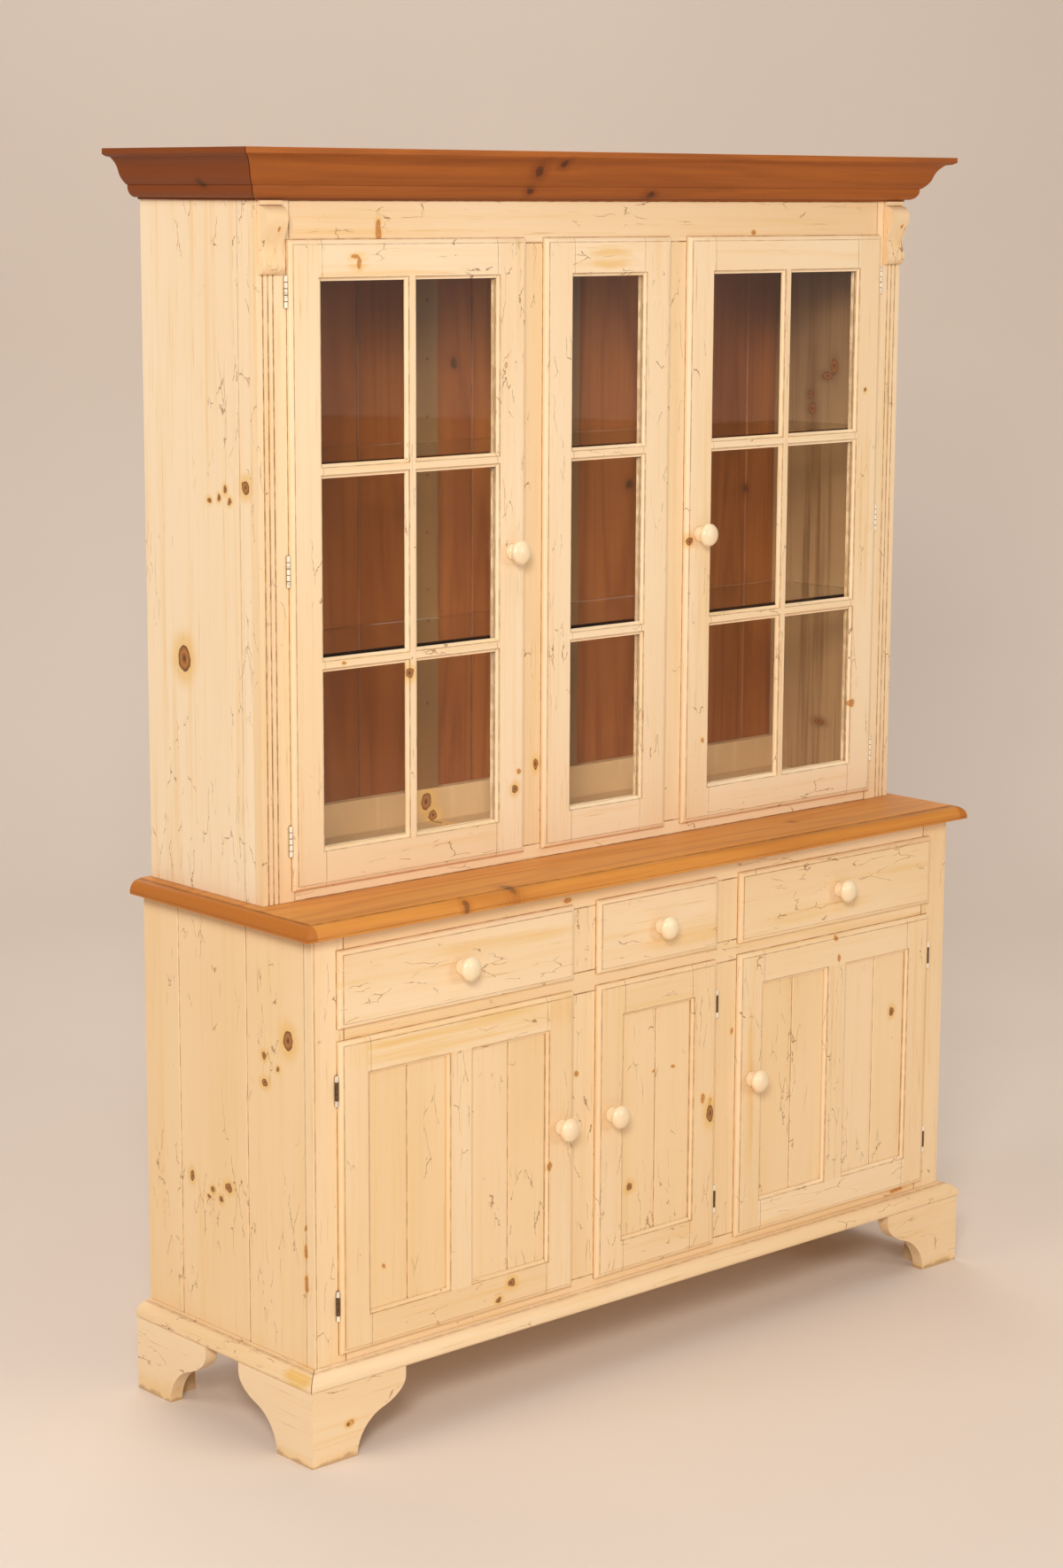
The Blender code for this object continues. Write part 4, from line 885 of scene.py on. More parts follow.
def front_ring(rect, y, xs=(), zs=()):
    """Points round a rectangle that faces the front, also at xs and zs along its sides."""
    x0, x1, z0, z1 = rect
    points = [(x, z0) for x in (x0, *xs, x1)] + [(x1, z) for z in (*zs, z1)]
    points += [(x, z1) for x in (*reversed(xs), x0)] + [(x0, z) for z in reversed(zs)]
    return [(x, y, z) for x, z in points]


def lip_rings(rect, face, back, xs=(), zs=()):
    """Rings of a lipped front, from its face round its moulded edge to its back."""
    size = sizes()
    seat = face + size.lip_seat
    rings = [(shrunk(rect, size.lip_mould), face)]
    round_of = quarter((0, seat - size.lip_edge), (size.lip_mould, face + size.lip_quirk))
    rings += [(shrunk(rect, amount), y) for amount, y in reversed(round_of)]
    behind = shrunk(rect, size.rebate)
    rings += [(rect, seat), (behind, seat), (behind, back)]
    return [front_ring(ring, y, xs, zs) for ring, y in rings]


def light_rects(kind, position, rect):
    """The lights of a glazed or a panelled front. The centre one has a single column."""
    size = sizes()
    columns = 1 if position == "centre" else 2
    if kind == "glazed":
        member, rows, muntin, bar = size.glazed_member, 3, size.glazed_muntin, size.glazed_bar
    else:
        member, rows, muntin, bar = size.panel_member, 1, size.panel_muntin, size.panel_muntin
    x0, x1, z0, z1 = shrunk(rect, member)
    wide = (x1 - x0 - muntin * (columns - 1)) / columns
    high = (z1 - z0 - bar * (rows - 1)) / rows
    found = []
    for column in range(columns):
        for row in range(rows):
            x, z = x0 + column * (wide + muntin), z0 + row * (high + bar)
            found.append((x, x + wide, z, z + high))
    return found


def edges_of(rects):
    """The places of some rectangles' edges, in order: along X, and along Z."""
    return [sorted({place for rect in rects for place in rect[i : i + 2]}) for i in (0, 2)]


def grid_round(bm, rect, y, lights):
    """Faces of a flat rectangle with openings left out, split at the openings' edges."""
    xs, zs = edges_of([rect, *lights])
    for x0, x1 in zip(xs, xs[1:]):
        for z0, z1 in zip(zs, zs[1:]):
            x, z = (x0 + x1) / 2, (z0 + z1) / 2
            if not any(left < x < right and low < z < high for left, right, low, high in lights):
                corners = [(x0, y, z0), (x1, y, z0), (x1, y, z1), (x0, y, z1)]
                bm.faces.new([bm.verts.new(corner) for corner in corners])


def panelled_front(bm, rect, face, back, member, lights, filling):
    """A lipped frame of stiles, rails and muntins, moulded round its lights."""
    size = sizes()
    mould = size.sash_mould
    flared = [shrunk(light, -mould) for light in lights]
    ledge = face + size.ledge
    groove_back = ledge + filling + 2 * size.slack
    opening = shrunk(rect, member)
    groove = shrunk(opening, -size.groove)
    xs, zs = edges_of(lights)
    rings = lip_rings(rect, face, back, *edges_of(flared))
    for ring, y in ((opening, back), (opening, groove_back), (groove, groove_back), (groove, ledge)):
        rings.append(front_ring(ring, y, xs, zs))
    loft(bm, rings)
    grid_round(bm, shrunk(rect, size.lip_mould), face, flared)
    grid_round(bm, groove, ledge, lights)
    for light in lights:
        edges = [(shrunk(light, -out), face + depth) for out, depth in quarter((mould, 0), (0, mould))]
        loft(bm, [front_ring(edge, y) for edge, y in [*edges, (light, ledge)]])


def set_grain(bm, rect, member, lights):
    """Gives level rails and bars the second finish, and uprights the first."""
    bmesh.ops.recalc_face_normals(bm, faces=bm.faces)
    mould = sizes().sash_mould
    rows = sorted({light[2:] for light in lights})
    columns = sorted({light[:2] for light in lights})
    for face in bm.faces:
        middle = face.calc_center_median()
        in_rail = rect[0] + member - mould < middle.x < rect[1] - member + mould
        upright = abs(face.normal.x) > abs(face.normal.z) + 0.1
        beside = any(low < middle.z < high for low, high in rows)
        between = any(left[1] < middle.x < right[0] for left, right in zip(columns, columns[1:]))
        outside = middle.z < rows[0][0] or middle.z > rows[-1][1]
        level = in_rail and not upright and not beside and (outside or not between)
        face.material_index = int(level)


def framed_fronts(kind, nodes, filling, shift, shift_step, **paint):
    """Makes the frames of three fronts, painted along the grain of their members."""
    size = sizes()
    member = size.glazed_member if kind == "glazed" else size.panel_member
    for number, (position, node) in enumerate(zip(POSITIONS, nodes)):
        rect, face, back = corners_of(node)
        lights = light_rects(kind, position, rect)
        bm = bmesh.new()
        panelled_front(bm, rect, face, back, member, lights, filling)
        set_grain(bm, rect, member, lights)
        paint["shift"] = shift + number * shift_step
        paint["lines"] = [("X", rect[0] + member), ("X", rect[1] - member)]
        # Painted shade lines at the step of the lip's quirk and round the lights' moulds, partly glaze.
        paint["outlines"] = [(shrunk(rect, size.lip_mould), 0.0)]
        paint["outlines"] += [(light, size.sash_mould) for light in lights]
        finishes = [painted(f"{kind}_{position}", grain, **paint) for grain in "ZX"]
        dress(node, bm, finishes)


def mitred_moulding(node, profile, half, front, back, finishes):
    """A moulding along the front and both sides, in three runs that meet at their mitres."""
    gap = 0.0008
    bm = bmesh.new()

    def add_run(*ends):
        rings = [
            [(x + out_x * outset, y + out_y * outset, height) for outset, height in profile]
            for (x, y), (out_x, out_y) in ends
        ]
        loft(bm, rings, True)

    for side in (-1, 1):
        add_run(((side * half, front + gap), (side, -1)), ((side * half, back), (side, 0)))
    for face in bm.faces:
        face.material_index = 1
    add_run(((gap - half, front), (-1, -1)), ((half - gap, front), (1, -1)))
    dress(node, bm, finishes)


# Operators: one for each piece or group of like pieces, and one for the stage


class CABINET_OT_carcass(bpy.types.Operator):
    """Finish the boards of the base and the hutch"""

    bl_idname = "cabinet.carcass"
    bl_label = "Carcass boards"

    def execute(self, context):
        self.finish_sides()
        self.finish_frames()
        self.finish_inner_boards()
        self.finish_panels()
        return {"FINISHED"}

    def finish_sides(self):
        hutch_edge, base_edge = (corners_of(part + "_face_frame")[2] for part in ("hutch", "base"))
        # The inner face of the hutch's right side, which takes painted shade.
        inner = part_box("hutch_side_right")[1].x - 0.01
        hutch = {"lines": [("Y", hutch_edge)], "inner": inner}
        base = {
            "lines": [("Y", place) for place in (base_edge, *SIDE_GROOVES)],
            "planks": ("Y", SIDE_GROOVES),
            "grain_strength": 0.6,
            "line_width": 0.0018,
            "line_strength": 0.9,
        }
        paints = {
            # Painted light: the hutch's outer left side paler, as if more strongly lit.
            "hutch_side_left": {**hutch, "tone": 0.45, "toned": colours().cream_lit},
            "hutch_side_right": {**hutch, "shift": 3.1},
            "base_side_left": {**base, "shift": 1.7, "tone": 0.06},
            "base_side_right": {**base, "shift": 4.3},
        }
        for node, paint in paints.items():
            cover(node, painted(node, "Z", **paint))

    def finish_frames(self):
        """The face frames, with dark joint lines round their rails and painted shadow lines round their
        doors and drawers.
        """
        stile = 0.065
        lap = 0.008
        fronts = {
            "hutch": ["upper_door_frame_left", "centre_light_frame", "upper_door_frame_right"],
            "base": [f"{kind}_{at}" for kind in ("drawer_front", "lower_door_frame") for at in POSITIONS],
        }
        own = {
            "hutch": {"shift": 2.3, "line_strength": 0.95, "line_width": 0.0019},
            "base": {"shift": 5.9, "tone": 0.08},
        }
        for part, nodes in fronts.items():
            _, x1, low, high = corners_of(part + "_face_frame")[0]
            rects = [corners_of(node)[0] for node in nodes]
            half = x1 - stile
            openings = sorted({rect[2:] for rect in rects})
            ends = [low, *[z for opening in openings for z in (opening[0] + lap, opening[1] - lap)], high]
            rails = list(zip(ends[::2], ends[1::2]))
            # Dark lines down the hutch's flutes, glaze and painted shade in the grooves; on the base,
            # down the quirk beside each stile.
            uprights = FLUTES if part == "hutch" else (x1 - 0.0055,)
            finish = painted(
                part + "_frame",
                "Z",
                lines=[("X", side * x) for side in (-1, 1) for x in uprights],
                outlines=[(rect, 0.0) for rect in rects + [(-half, half, *rail) for rail in rails]],
                outline_strength=0.95,
                outline_width=0.0017,
                rails=(half, rails),
                **own[part],
            )
            cover(part + "_face_frame", finish)

    def finish_inner_boards(self):
        cover("base_bottom", painted("base_bottom", "X", shift=6.4))
        cover("hutch_deck", inner_paint())
        planks = pine("planks", "Z", "brown", planks=("X", PLANK_EDGES), rough=0.48, clouds=0.6)
        cover("hutch_back_planks", planks)
        cover("base_back", pine("base_back", "Z", "raw", shift=8.0))
        cover("drawer_runner_board", pine("runner", "X", "raw", shift=9.0))
        for number, name in enumerate(POSITIONS):
            cover("drawer_box_" + name, pine("drawer_" + name, "Y", "raw", shift=9.0 + number))

    def finish_panels(self):
        for number, name in enumerate(POSITIONS):
            lights = light_rects("panelled", name, corners_of("lower_door_frame_" + name)[0])
            grooves = [(light[0] + light[1]) / 2 for light in lights]
            edges = sorted({*edges_of(lights)[0], *grooves})[1:-1]
            finish = painted(
                "panel_" + name,
                "Z",
                lines=[("X", groove) for groove in grooves],
                line_width=0.0016,
                line_strength=0.75,
                shift=11.0 + number,
                planks=("X", edges),
                tone=0.1,
                grain_strength=0.55,
            )
            cover("lower_door_planks_" + name, finish)


class CABINET_OT_glass(bpy.types.Operator):
    """Glaze the doors and lay the shelves"""

    bl_idname = "cabinet.glass"
    bl_label = "Glass"

    def execute(self, context):
        shelf_front = min(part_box(node)[0].y for node in NODES if "shelf" in node)
        pane = clear_glass("clear_glass")
        shelf = clear_glass("shelf_glass", shelf_front)
        for node in NODES:
            if "glass" in node:
                cover(node, shelf if "shelf" in node else pane)
        return {"FINISHED"}


class CABINET_OT_glazed_fronts(bpy.types.Operator):
    """Make the frames of the two glazed doors and of the centre light"""

    bl_idname = "cabinet.glazed_fronts"
    bl_label = "Glazed fronts"

    def execute(self, context):
        nodes = ["upper_door_frame_left", "centre_light_frame", "upper_door_frame_right"]
        paint = {"tone": 0.25, "toned": colours().cream_lit}
        framed_fronts("glazed", nodes, sizes().pane, 15.0, 1.9, **paint)
        return {"FINISHED"}


class CABINET_OT_panelled_doors(bpy.types.Operator):
    """Make the frames of the three panelled doors"""

    bl_idname = "cabinet.panelled_doors"
    bl_label = "Panelled doors"

    def execute(self, context):
        nodes = ["lower_door_frame_" + position for position in POSITIONS]
        framed_fronts("panelled", nodes, sizes().plank_panel, 21.0, 2.3, tone=0.05)
        return {"FINISHED"}


class CABINET_OT_drawer_fronts(bpy.types.Operator):
    """Make the three lipped drawer fronts"""

    bl_idname = "cabinet.drawer_fronts"
    bl_label = "Drawer fronts"

    def execute(self, context):
        for number, position in enumerate(POSITIONS):
            node = "drawer_front_" + position
            rect, face, back = corners_of(node)
            bm = bmesh.new()
            loft(bm, lip_rings(rect, face, back), True)
            # A painted shade line at the step of the lip's quirk, partly glaze.
            outlines = [(shrunk(rect, sizes().lip_mould), 0.0)]
            paint = {"resin_strength": 0.4, "outlines": outlines, "shift": 31.0 + number * 3.1}
            dress(node, bm, [painted("drawer_" + position, "X", **paint)])
        return {"FINISHED"}


class CABINET_OT_knobs(bpy.types.Operator):
    """Turn the eight knobs"""

    bl_idname = "cabinet.knobs"
    bl_label = "Knobs"

    def execute(self, context):
        for node in sorted(NODES):
            if "knob" in node:
                self.turn_knob(node)
        return {"FINISHED"}

    def turn_knob(self, node):
        rect, front, back = corners_of(node)
        reach = back - front
        foot, neck, half_head = 0.0135, 0.0085, 0.0105
        profile = [(0, reach)]
        sweep, steps = math.radians(150), 24
        for step in range(1, steps + 1):
            turn = math.pi / 2 - sweep * step / steps
            radius = (rect[1] - rect[0]) / 2 * math.cos(turn)
            profile.append((radius, reach - half_head + half_head * math.sin(turn)))
        under = profile[-1][1]
        profile += [(neck + 0.0012, under - 0.0016), (neck, under - 0.0032)]
        profile += [(neck, 0.0075), (neck + 0.002, 0.0058), (foot, 0.0042)]
        profile += [(foot + 0.0002, 0.003), (foot, 0.0), (0, 0)]
        x, z = (rect[0] + rect[1]) / 2, (rect[2] + rect[3]) / 2
        bm = bmesh.new()
        add_turned(bm, profile, sizes().knob_sides, (x, back, z), math.pi / 2)
        dress(node, bm, [knob_paint(node, x, z)], "turned_")


# A hinge's barrel: its radius, the radius of its eased ends, and how many knuckles it has
BARREL, BARREL_TIP, KNUCKLES = 0.003, 0.0022, 5


class CABINET_OT_hinges(bpy.types.Operator):
    """Make the hinges with both leaves and their screws"""

    bl_idname = "cabinet.hinges"
    bl_label = "Hinges"

    def execute(self, context):
        finishes = [nickel_plate(), daubed_nickel(), dark_slot("slot")]
        for node in sorted(NODES):
            if "hinge" in node:
                self.make_hinge(node, finishes)
        return {"FINISHED"}

    def make_hinge(self, node, finishes):
        low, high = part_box(node)
        level, position = node.split("_")[0], node.split("_")[2]
        rect, _, back = corners_of(f"{level}_door_frame_{position}")
        side = -1 if abs(low.x - rect[0]) < abs(high.x - rect[1]) else 1
        edge = rect[0] if side < 0 else rect[1]
        proud, half_neck, let_in = 0.0035, 0.0015, 0.0065
        axis_x, axis_y = edge + side * proud, low.y + BARREL
        height = high.z - low.z
        bm = bmesh.new()
        lathe(bm, self.barrel_profile(height), sizes().barrel_sides)
        self.daub(bm, height, level == "lower")
        bm.transform(Matrix.Translation((axis_x, axis_y, (low.z + high.z) / 2)))
        near, far = axis_x + side * half_neck, axis_x - side * half_neck
        end = edge - side * let_in
        seat = high.y - sizes().hinge_leaf
        outline = [(far, axis_y), (near, axis_y), (near, high.y), (end, high.y), (end, seat), (far, seat)]
        board(bm, outline, low.z, high.z)
        dress(node, bm, finishes)
        self.make_door_leaf(node, f"door_{level}_{position}", finishes[0], side, edge, back, low, high)

    def barrel_profile(self, height):
        """Five knuckles with a slot between each and the next, from the top down."""
        half = height / 2
        inner, slot = BARREL - 0.0009, 0.0007
        profile = [(0, half), (BARREL_TIP, half), (BARREL, half - slot)]
        for number in range(1, KNUCKLES):
            level = half - height * number / KNUCKLES
            profile += [(BARREL, level + slot), (inner, level + slot)]
            profile += [(inner, level - slot), (BARREL, level - slot)]
        return profile + [(BARREL, slot - half), (BARREL_TIP, -half), (0, -half)]

    def daub(self, bm, height, bare_middle):
        """Gives the slots their dark painted shade, and the painted knuckles their paint."""
        for face in bm.faces:
            middle = face.calc_center_median()
            wide = max(math.hypot(vertex.co.x, vertex.co.y) for vertex in face.verts)
            knuckle = min(KNUCKLES - 1, int((height / 2 - middle.z) / height * KNUCKLES))
            if wide < BARREL_TIP:
                face.material_index = 2 if abs(middle.z) < height * 0.45 else 1
            elif not bare_middle or knuckle in (0, KNUCKLES - 1):
                face.material_index = 1

    def make_door_leaf(self, node, door, finish, side, edge, back, low, high):
        """The leaf let into the door: behind its lip, along its rebate and on its back."""
        size = sizes()
        thick, leaf = 0.019, 0.0008
        seat = back - (thick - size.lip_seat)
        wall = edge - side * size.rebate
        inside = wall - side * leaf
        reach = wall - side * size.hinge_reach
        outline = [(edge, seat - leaf), (inside, seat - leaf), (inside, back), (reach, back)]
        outline += [(reach, back + leaf), (wall, back + leaf), (wall, seat), (edge, seat)]
        bm = bmesh.new()
        board(bm, outline, low.z, high.z)
        x = wall - side * size.hinge_reach * 0.55
        sides = 20
        head = [(0, 0.0009), (size.screw * 0.6, 0.0008), (size.screw, 0.0)]
        head += [(size.screw, -0.0004), (0, -0.0004)]
        for share in (0.2, 0.8):
            place = (x, back + leaf, low.z + (high.z - low.z) * share)
            add_turned(bm, head, sides, place, -math.pi / 2)
        new_piece("door_leaf_" + node, bm, door, [finish])


class CABINET_OT_countertop(bpy.types.Operator):
    """Make the stained countertop"""

    bl_idname = "cabinet.countertop"
    bl_label = "Countertop"

    def execute(self, context):
        low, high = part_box("countertop")
        overhang, fillet, ovolo, ledge, ease = 0.028, 0.0045, 0.0195, 0.0012, 0.0015
        half, front = high.x - overhang, low.y + overhang
        foot, head = low.z + fillet, low.z + fillet + ovolo
        step = overhang - ovolo - ledge
        profile = [(overhang, low.z), *quarter((overhang, foot), (overhang - ovolo, head))]
        rings = []
        for outset, z in [*profile, (step, head), (step - ease, high.z)]:
            x, y = half + outset, front - outset
            rings.append([(-x, y, z), (x, y, z), (x, high.y, z), (-x, high.y, z)])
        bm = bmesh.new()
        loft(bm, rings, True)
        finish = pine(
            "counter",
            "X",
            "honey",
            shift=2.2,
            rough=0.36,
            coat=0.1,
            ring_strength=0.4,
            knot_strength=0.6,
            shade=lambda finish: self.end_grain(finish, high) * 0.95,
            lines=[("Z", foot), ("Z", head)],
            line_width=0.0008,
        )
        dress("countertop", bm, [finish])
        return {"FINISHED"}

    def end_grain(self, finish, high):
        """1 on the darker ends of the boards."""
        ends = finish.ramp(abs(finish.axis("X")), high.x - 0.021, high.x - 0.019)
        return ends * (1 - finish.ramp(finish.axis("Z"), high.z - 0.0012, high.z - 0.0002))


class CABINET_OT_cornice(bpy.types.Operator):
    """Make the crown moulding and the board behind it"""

    bl_idname = "cabinet.cornice"
    bl_label = "Cornice"

    def execute(self, context):
        low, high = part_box("cornice")
        base, top = low.z, high.z
        projection, tray, wall = 0.073, 0.012, 0.018
        half, front = high.x - projection, low.y + projection
        profile = self.face(base, top, projection)
        profile += [(projection - wall, top), (-tray, base + tray), (-tray, base)]
        stain = {
            "shift": 4.1,
            "rough": 0.48,
            "ring_strength": 0.22,
            # The mitre's dark line is painted shade in its narrow gap.
            "lines": [("mitre", half + front)],
            "line_strength": 0.9,
        }

        def shade(finish):
            return finish.ramp(finish.axis("Z"), base, base + 0.001) * 0.9

        sides = pine("cornice_side", "Y", "cornice", shade=shade, **stain)
        finishes = [pine("cornice", "X", "cornice", **stain), sides]
        mitred_moulding("cornice", profile, half, front, high.y, finishes)
        self.close_tray(half, front, high.y, base, top, tray, projection - wall)
        return {"FINISHED"}

    def face(self, base, top, projection):
        """The crown from the hutch up: a fillet, a cove, a fillet, an ogee and a lip."""
        points = [(0.0045, base), (0.0045, base + 0.0033)]
        points += reversed(quarter((0.0245, base + 0.0201), (0.0085, base + 0.0033)))
        foot, head = Vector((0.0265, base + 0.0235)), Vector((0.0575, base + 0.0668))
        handle = Vector((0.0227, 0.0182))
        points.append((0.0245, foot.y))
        points += bezier([foot, foot + handle, head - handle, head], 2 * sizes().curve_steps)
        points += [(0.066, base + 0.068), (projection, base + 0.0715)]
        return points + [(projection, top - 0.0008), (projection - 0.0008, top)]

    def close_tray(self, half, front, back, base, top, tray, rim):
        """The board that closes the crown from below, and its wall at the back."""
        gap = 0.0003
        inner, near, behind = half - tray - gap, front + tray + gap, back - tray
        bm = bmesh.new()
        floor = [(-inner, near), (inner, near), (inner, behind), (-inner, behind)]
        board(bm, floor, base, base + tray)
        wide = half + rim - gap
        outline = [(-inner, base), (inner, base), (inner, base + tray), (wide, top)]
        outline += [(-wide, top), (-inner, base + tray)]
        board(bm, outline, behind, back, lambda x, z, y: (x, y, z))
        dust = pine("dust_board", "X", "raw", shift=5.0)
        new_piece("cornice_dust_board", bm, "carcass", [dust])


class CABINET_OT_base_moulding(bpy.types.Operator):
    """Make the moulding round the foot of the base"""

    bl_idname = "cabinet.base_moulding"
    bl_label = "Base moulding"

    def execute(self, context):
        low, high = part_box("base_moulding")
        outer, ovolo_wide = 0.032, 0.024
        half, front = high.x - outer, low.y + outer
        band = low.z + 0.002
        ovolo = band + 0.003
        shoulder = ovolo + 0.0195
        profile = [(outer - 0.002, low.z), (outer - 0.002, band), (outer, band)]
        profile += quarter((outer, ovolo), (outer - ovolo_wide, shoulder))
        profile += [(outer - ovolo_wide, high.z), (0.0003, high.z), (0.0003, low.z)]
        lines = [("Z", band), ("Z", shoulder), ("mitre", half + front)]
        paint = {"lines": lines, "line_strength": 0.35, "resin_strength": 0.9, "shift": 41.0}
        finishes = [painted("moulding", "X", **paint), painted("moulding", "Y", MOULDING_MARKS, **paint)]
        mitred_moulding("base_moulding", profile, half, front, high.y, finishes)
        return {"FINISHED"}


class CABINET_OT_feet(bpy.types.Operator):
    """Saw the four bracket feet"""

    bl_idname = "cabinet.feet"
    bl_label = "Bracket feet"

    def execute(self, context):
        block = pine("foot_block", "Z", "raw")
        for hand, side in HANDS.items():
            self.make_foot("foot_front_" + hand, side, True, block)
            self.make_foot("foot_rear_" + hand, side, False, block)
        return {"FINISHED"}

    def outline(self, height):
        """A sawn board, with the S-curve from the top of its wing down to its toe."""
        wing, lobe, tip = 0.198, 0.113, 0.0945
        waist_x, waist_z = waist = (0.15, 0.0708)
        slope = 0.3
        reach = (wing - waist_x) * 3 / 8
        drop = (waist_x - tip) / 2
        above = [(wing, lobe), (wing, (lobe + waist_z) / 2), (waist_x + reach, waist_z + reach * slope)]
        below = [(waist_x - drop, waist_z - drop * slope), (tip, waist_z / 2), (tip, 0)]
        upper, lower = bezier([*above, waist], 13), bezier([waist, *below], 13)
        return [(0.0, 0.0), (0.0, height), (wing, height), *upper, *lower[1:]]

    def make_foot(self, node, side, in_front, block_finish):
        low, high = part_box(node)
        thick, block = 0.025, 0.07
        x0 = low.x if side < 0 else high.x
        y0, inward = (low.y, 1) if in_front else (high.y, -1)
        sawn = self.outline(high.z)
        corner = [(thick, thick), (block, thick), (block, block), (thick, block)]
        if not in_front:
            corner[:2] = [(thick, 0), (block, 0)]
        pieces = [bmesh.new() for _ in range(3)]
        front_board, side_board, inner_block = pieces
        if in_front:
            self.mitred_board(front_board, sawn, thick, lambda u, v, d: (x0 - side * u, y0 + d, v))
        saw = self.mitred_board if in_front else self.square_board
        saw(side_board, sawn, thick, lambda u, v, d: (x0 - side * d, y0 + inward * u, v))
        board(inner_block, corner, 0, high.z, lambda u, v, z: (x0 - side * u, y0 + inward * v, z))
        bm = bmesh.new()
        for number, piece in enumerate(pieces):
            for face in piece.faces:
                face.material_index = number
            take_in(bm, piece)
        worn = 0.035 if in_front else 0.05
        front_finish = painted(node, "X", FOOT_MARKS, shift=47.0, worn=worn)
        side_finish = painted(node, "Y", shift=49.0, worn=worn)
        dress(node, bm, [front_finish, side_finish, block_finish])

    def square_board(self, bm, outline, thick, place):
        board(bm, outline, 0, thick, place)

    def mitred_board(self, bm, outline, thick, place):
        """A sawn board whose end at u = 0 is cut at 45 degrees."""
        cut = [(max(u, thick), v) for u, v in outline]
        sides = ((outline, 0), (cut, thick))
        loft(bm, [[place(u, v, depth) for u, v in points] for points, depth in sides], True)


class CABINET_OT_corbels(bpy.types.Operator):
    """Saw the two scrolled corbels"""

    bl_idname = "cabinet.corbels"
    bl_label = "Corbels"

    def execute(self, context):
        for hand, side in HANDS.items():
            node = "corbel_" + hand
            low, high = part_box(node)
            bm = bmesh.new()
            scroll, back, top = self.outline(), high.y, high.z
            board(bm, scroll, low.x, high.x, lambda out, down, x: (x, back - out, top - down))
            spot = (low.x * 350 + high.x * 650, high.z * 1000 - 45, 3, 4)
            finish = painted(
                node,
                "Z",
                {"amber": front_marks(spot)},
                lines=[("Z", high.z - 0.0072)],
                shift=55.0 + side,
            )
            dress(node, bm, [finish])
        return {"FINISHED"}

    def outline(self):
        """The scroll from the top down, as (outwards, downwards)."""
        neck, belly, waist, curl = (0.006, 0.008), (0.024, 0.026), (0.0085, 0.078), (0.014, 0.1)
        points = [(0, 0), (0.008, 0), (0.008, 0.007), (0.006, 0.007), neck]
        points += quarter(belly, neck)[-2::-1]
        points += self.ease(belly, waist) + self.ease(waist, curl)
        return points + quarter(curl, (0.002, 0.115))[1:] + [(0, 0.115)]

    def ease(self, start, end):
        """A smooth S on from start to end, upright at both."""
        steps = 16
        found = []
        for step in range(1, steps + 1):
            t = step / steps
            swing = t * t * (3 - 2 * t)
            found.append((start[0] + (end[0] - start[0]) * swing, start[1] + (end[1] - start[1]) * t))
        return found


class CABINET_OT_pin_holes(bpy.types.Operator):
    """Lay rows of thin dark discs, painted shade where the holes for the shelf pins would be"""

    bl_idname = "cabinet.pin_holes"
    bl_label = "Pin holes"

    def execute(self, context):
        size = sizes()
        batten, proud, sides = 0.019, 0.0001, 16
        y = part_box("hutch_deck")[1].y - batten - proud
        profile = [(0, 0.0), (size.pin_hole, 0.0), (size.pin_hole, 0.0003), (0, 0.0003)]
        bm = bmesh.new()
        measured, below, top = 1.6533, 5, 1.95
        level = measured - below * size.pin_pitch
        while level < top:
            for x in (-0.17, 0.17):
                add_turned(bm, profile, sides, (x, y, level), math.pi / 2)
            level += size.pin_pitch
        new_piece("shelf_pin_holes", bm, "carcass", [dark_slot("pin_hole")])
        return {"FINISHED"}


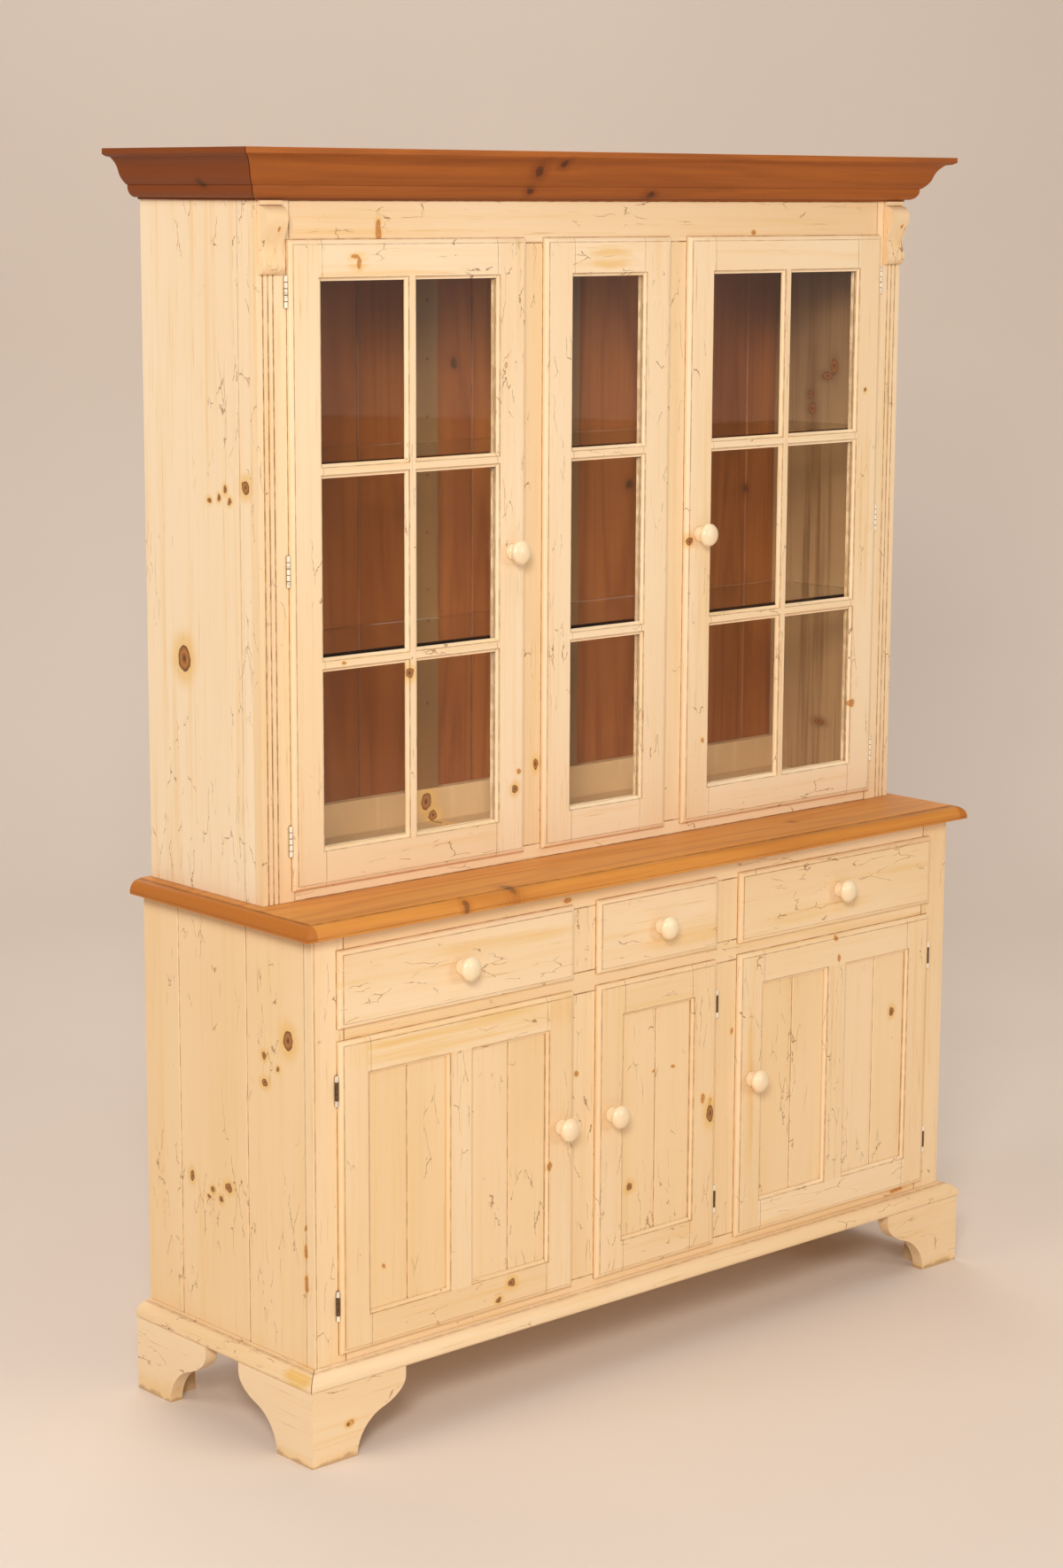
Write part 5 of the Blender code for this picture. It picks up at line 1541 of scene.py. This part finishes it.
class CABINET_OT_stage(bpy.types.Operator):
    """Set the floor, the backdrop, the lamps and the camera"""

    bl_idname = "cabinet.stage"
    bl_label = "Stage"

    def execute(self, context):
        self.lay_floor()
        self.hang_lamps()
        self.set_world()
        self.set_camera()
        context.scene.view_settings.view_transform = "Standard"
        return {"FINISHED"}

    def lay_floor(self):
        """A floor that sweeps up into a backdrop behind the cabinet."""
        wide, near, bend, radius, tall = 24.0, -9.6, 3.3, 1.6, 15.0
        facing, steps = -41.95, 12
        rows = [(-wide, 0.0), (near, 0.0), (bend, 0.0)]
        for step in range(1, steps + 1):
            turn = math.pi / 2 * step / steps
            rows.append((bend + radius * math.sin(turn), radius * (1 - math.cos(turn))))
        rows.append((rows[-1][0], tall))
        bm = bmesh.new()
        lines = [[bm.verts.new((x, y, z)) for x in (-wide, wide)] for y, z in rows]
        for line, after in zip(lines, lines[1:]):
            bm.faces.new((line[0], line[1], after[1], after[0]))
        mesh = bpy.data.meshes.new("floor")
        bm.to_mesh(mesh)
        bm.free()
        mesh.shade_smooth()
        floor = add_object("floor", mesh)
        finish = Finish("floor")
        tint = colours().floor
        paler = [min(1.0, part * 1.06) for part in tint]
        body = finish.mix(finish.noise(finish.place, 1.3, 3.0), tint, paler)
        finish.material_with(Base_Color=body, Roughness=0.75, Specular_IOR_Level=0.2)
        mesh.materials.append(finish.material)
        floor.rotation_euler.z = math.radians(facing)

    def hang_lamps(self):
        lamps = (
            ("key", (-4.8, -4.6, 3.9), 1.6, 290.0, (1.0, 0.97, 0.93)),
            ("fill", (1.5, -5.5, 2.4), 2.0, 60.0, (1.0, 0.98, 0.95)),
            ("side", (-4.5, 0.5, 4.2), 2.2, 58.0, (1.0, 0.98, 0.95)),
            ("top", (0.0, -0.6, 4.6), 3.0, 40.0, (1.0, 0.98, 0.96)),
            ("back", (1.2, 3.4, 5.6), 3.0, 90.0, (1.0, 0.98, 0.96)),
        )
        for name, place, size, power, tone in lamps:
            light = bpy.data.lights.new(name, "AREA")
            light.shape = "SQUARE"
            light.size = size
            light.energy = power
            light.color = tone
            lamp = add_object(name, light)
            lamp.location = place
            lamp.visible_camera = False
            aim = Vector((0, 0, 1.0)) - Vector(place)
            lamp.rotation_euler = aim.to_track_quat("-Z", "Y").to_euler()

    def set_world(self):
        """Soft light from all round, and a pale surround where the eye looks past the floor."""
        world = bpy.data.worlds.new("studio")
        world.use_nodes = True
        sky = Nodes(world.node_tree)
        ambient = sky.node("ShaderNodeBackground", None, {0: (1.0, 0.985, 0.96), 1: 0.22})
        surround = sky.node("ShaderNodeBackground", None, {0: (0.62, 0.53, 0.46)})
        rays = ("Is Camera Ray", "Is Glossy Ray", "Is Transmission Ray")
        seen = joined("MAXIMUM", [sky.node("ShaderNodeLightPath", output=ray) for ray in rays])
        choice = sky.node("ShaderNodeMixShader", None, {0: seen, 1: ambient, 2: surround})
        sky.feed(sky.tree.nodes["World Output"], {"Surface": choice})
        bpy.context.scene.world = world

    def set_camera(self):
        yaw, pitch, roll = (math.radians(angle) for angle in (41.9519, 10.4677, 0.2562))
        flat = math.cos(pitch)
        forward = Vector((math.sin(yaw) * flat, math.cos(yaw) * flat, -math.sin(pitch)))
        level = Vector((math.cos(yaw), -math.sin(yaw), 0))
        upright = level.cross(forward)
        right = level * math.cos(roll) + upright * math.sin(roll)
        up = upright * math.cos(roll) - level * math.sin(roll)
        turn = Matrix((right, up, -forward)).transposed()
        focal_px, photo_height_px, sensor = 3603.21, 1770, 36.0
        place = (-3.8065, -4.11295, 2.0401)
        camera = bpy.data.cameras.new("camera")
        camera.sensor_width = sensor
        camera.lens = focal_px * sensor / photo_height_px
        camera.clip_end = 60.0
        obj = add_object("camera", camera)
        obj.matrix_world = Matrix.Translation(place) @ turn.to_4x4()
        bpy.context.scene.camera = obj


OPERATORS = (
    CABINET_OT_stage,
    CABINET_OT_carcass,
    CABINET_OT_glass,
    CABINET_OT_glazed_fronts,
    CABINET_OT_panelled_doors,
    CABINET_OT_drawer_fronts,
    CABINET_OT_knobs,
    CABINET_OT_hinges,
    CABINET_OT_countertop,
    CABINET_OT_cornice,
    CABINET_OT_base_moulding,
    CABINET_OT_feet,
    CABINET_OT_corbels,
    CABINET_OT_pin_holes,
)


class CABINET_PT_panel(bpy.types.Panel):
    """The operators, in the order that they run"""

    bl_idname = "CABINET_PT_panel"
    bl_label = "China Cabinet"
    bl_space_type = "VIEW_3D"
    bl_region_type = "UI"
    bl_category = "Cabinet"

    def draw(self, context):
        for operator in OPERATORS:
            self.layout.operator(operator.bl_idname)


CLASSES = (CabinetSizes, CabinetColours, *OPERATORS, CABINET_PT_panel)


def register():
    for each in CLASSES:
        bpy.utils.register_class(each)
    bpy.types.Scene.cabinet_sizes = bpy.props.PointerProperty(type=CabinetSizes)
    bpy.types.Scene.cabinet_colours = bpy.props.PointerProperty(type=CabinetColours)


def unregister():
    del bpy.types.Scene.cabinet_colours
    del bpy.types.Scene.cabinet_sizes
    for each in reversed(CLASSES):
        bpy.utils.unregister_class(each)


def main():
    register()
    for operator in OPERATORS:
        group, name = operator.bl_idname.split(".")
        getattr(getattr(bpy.ops, group), name)()


if __name__ == "__main__":
    main()
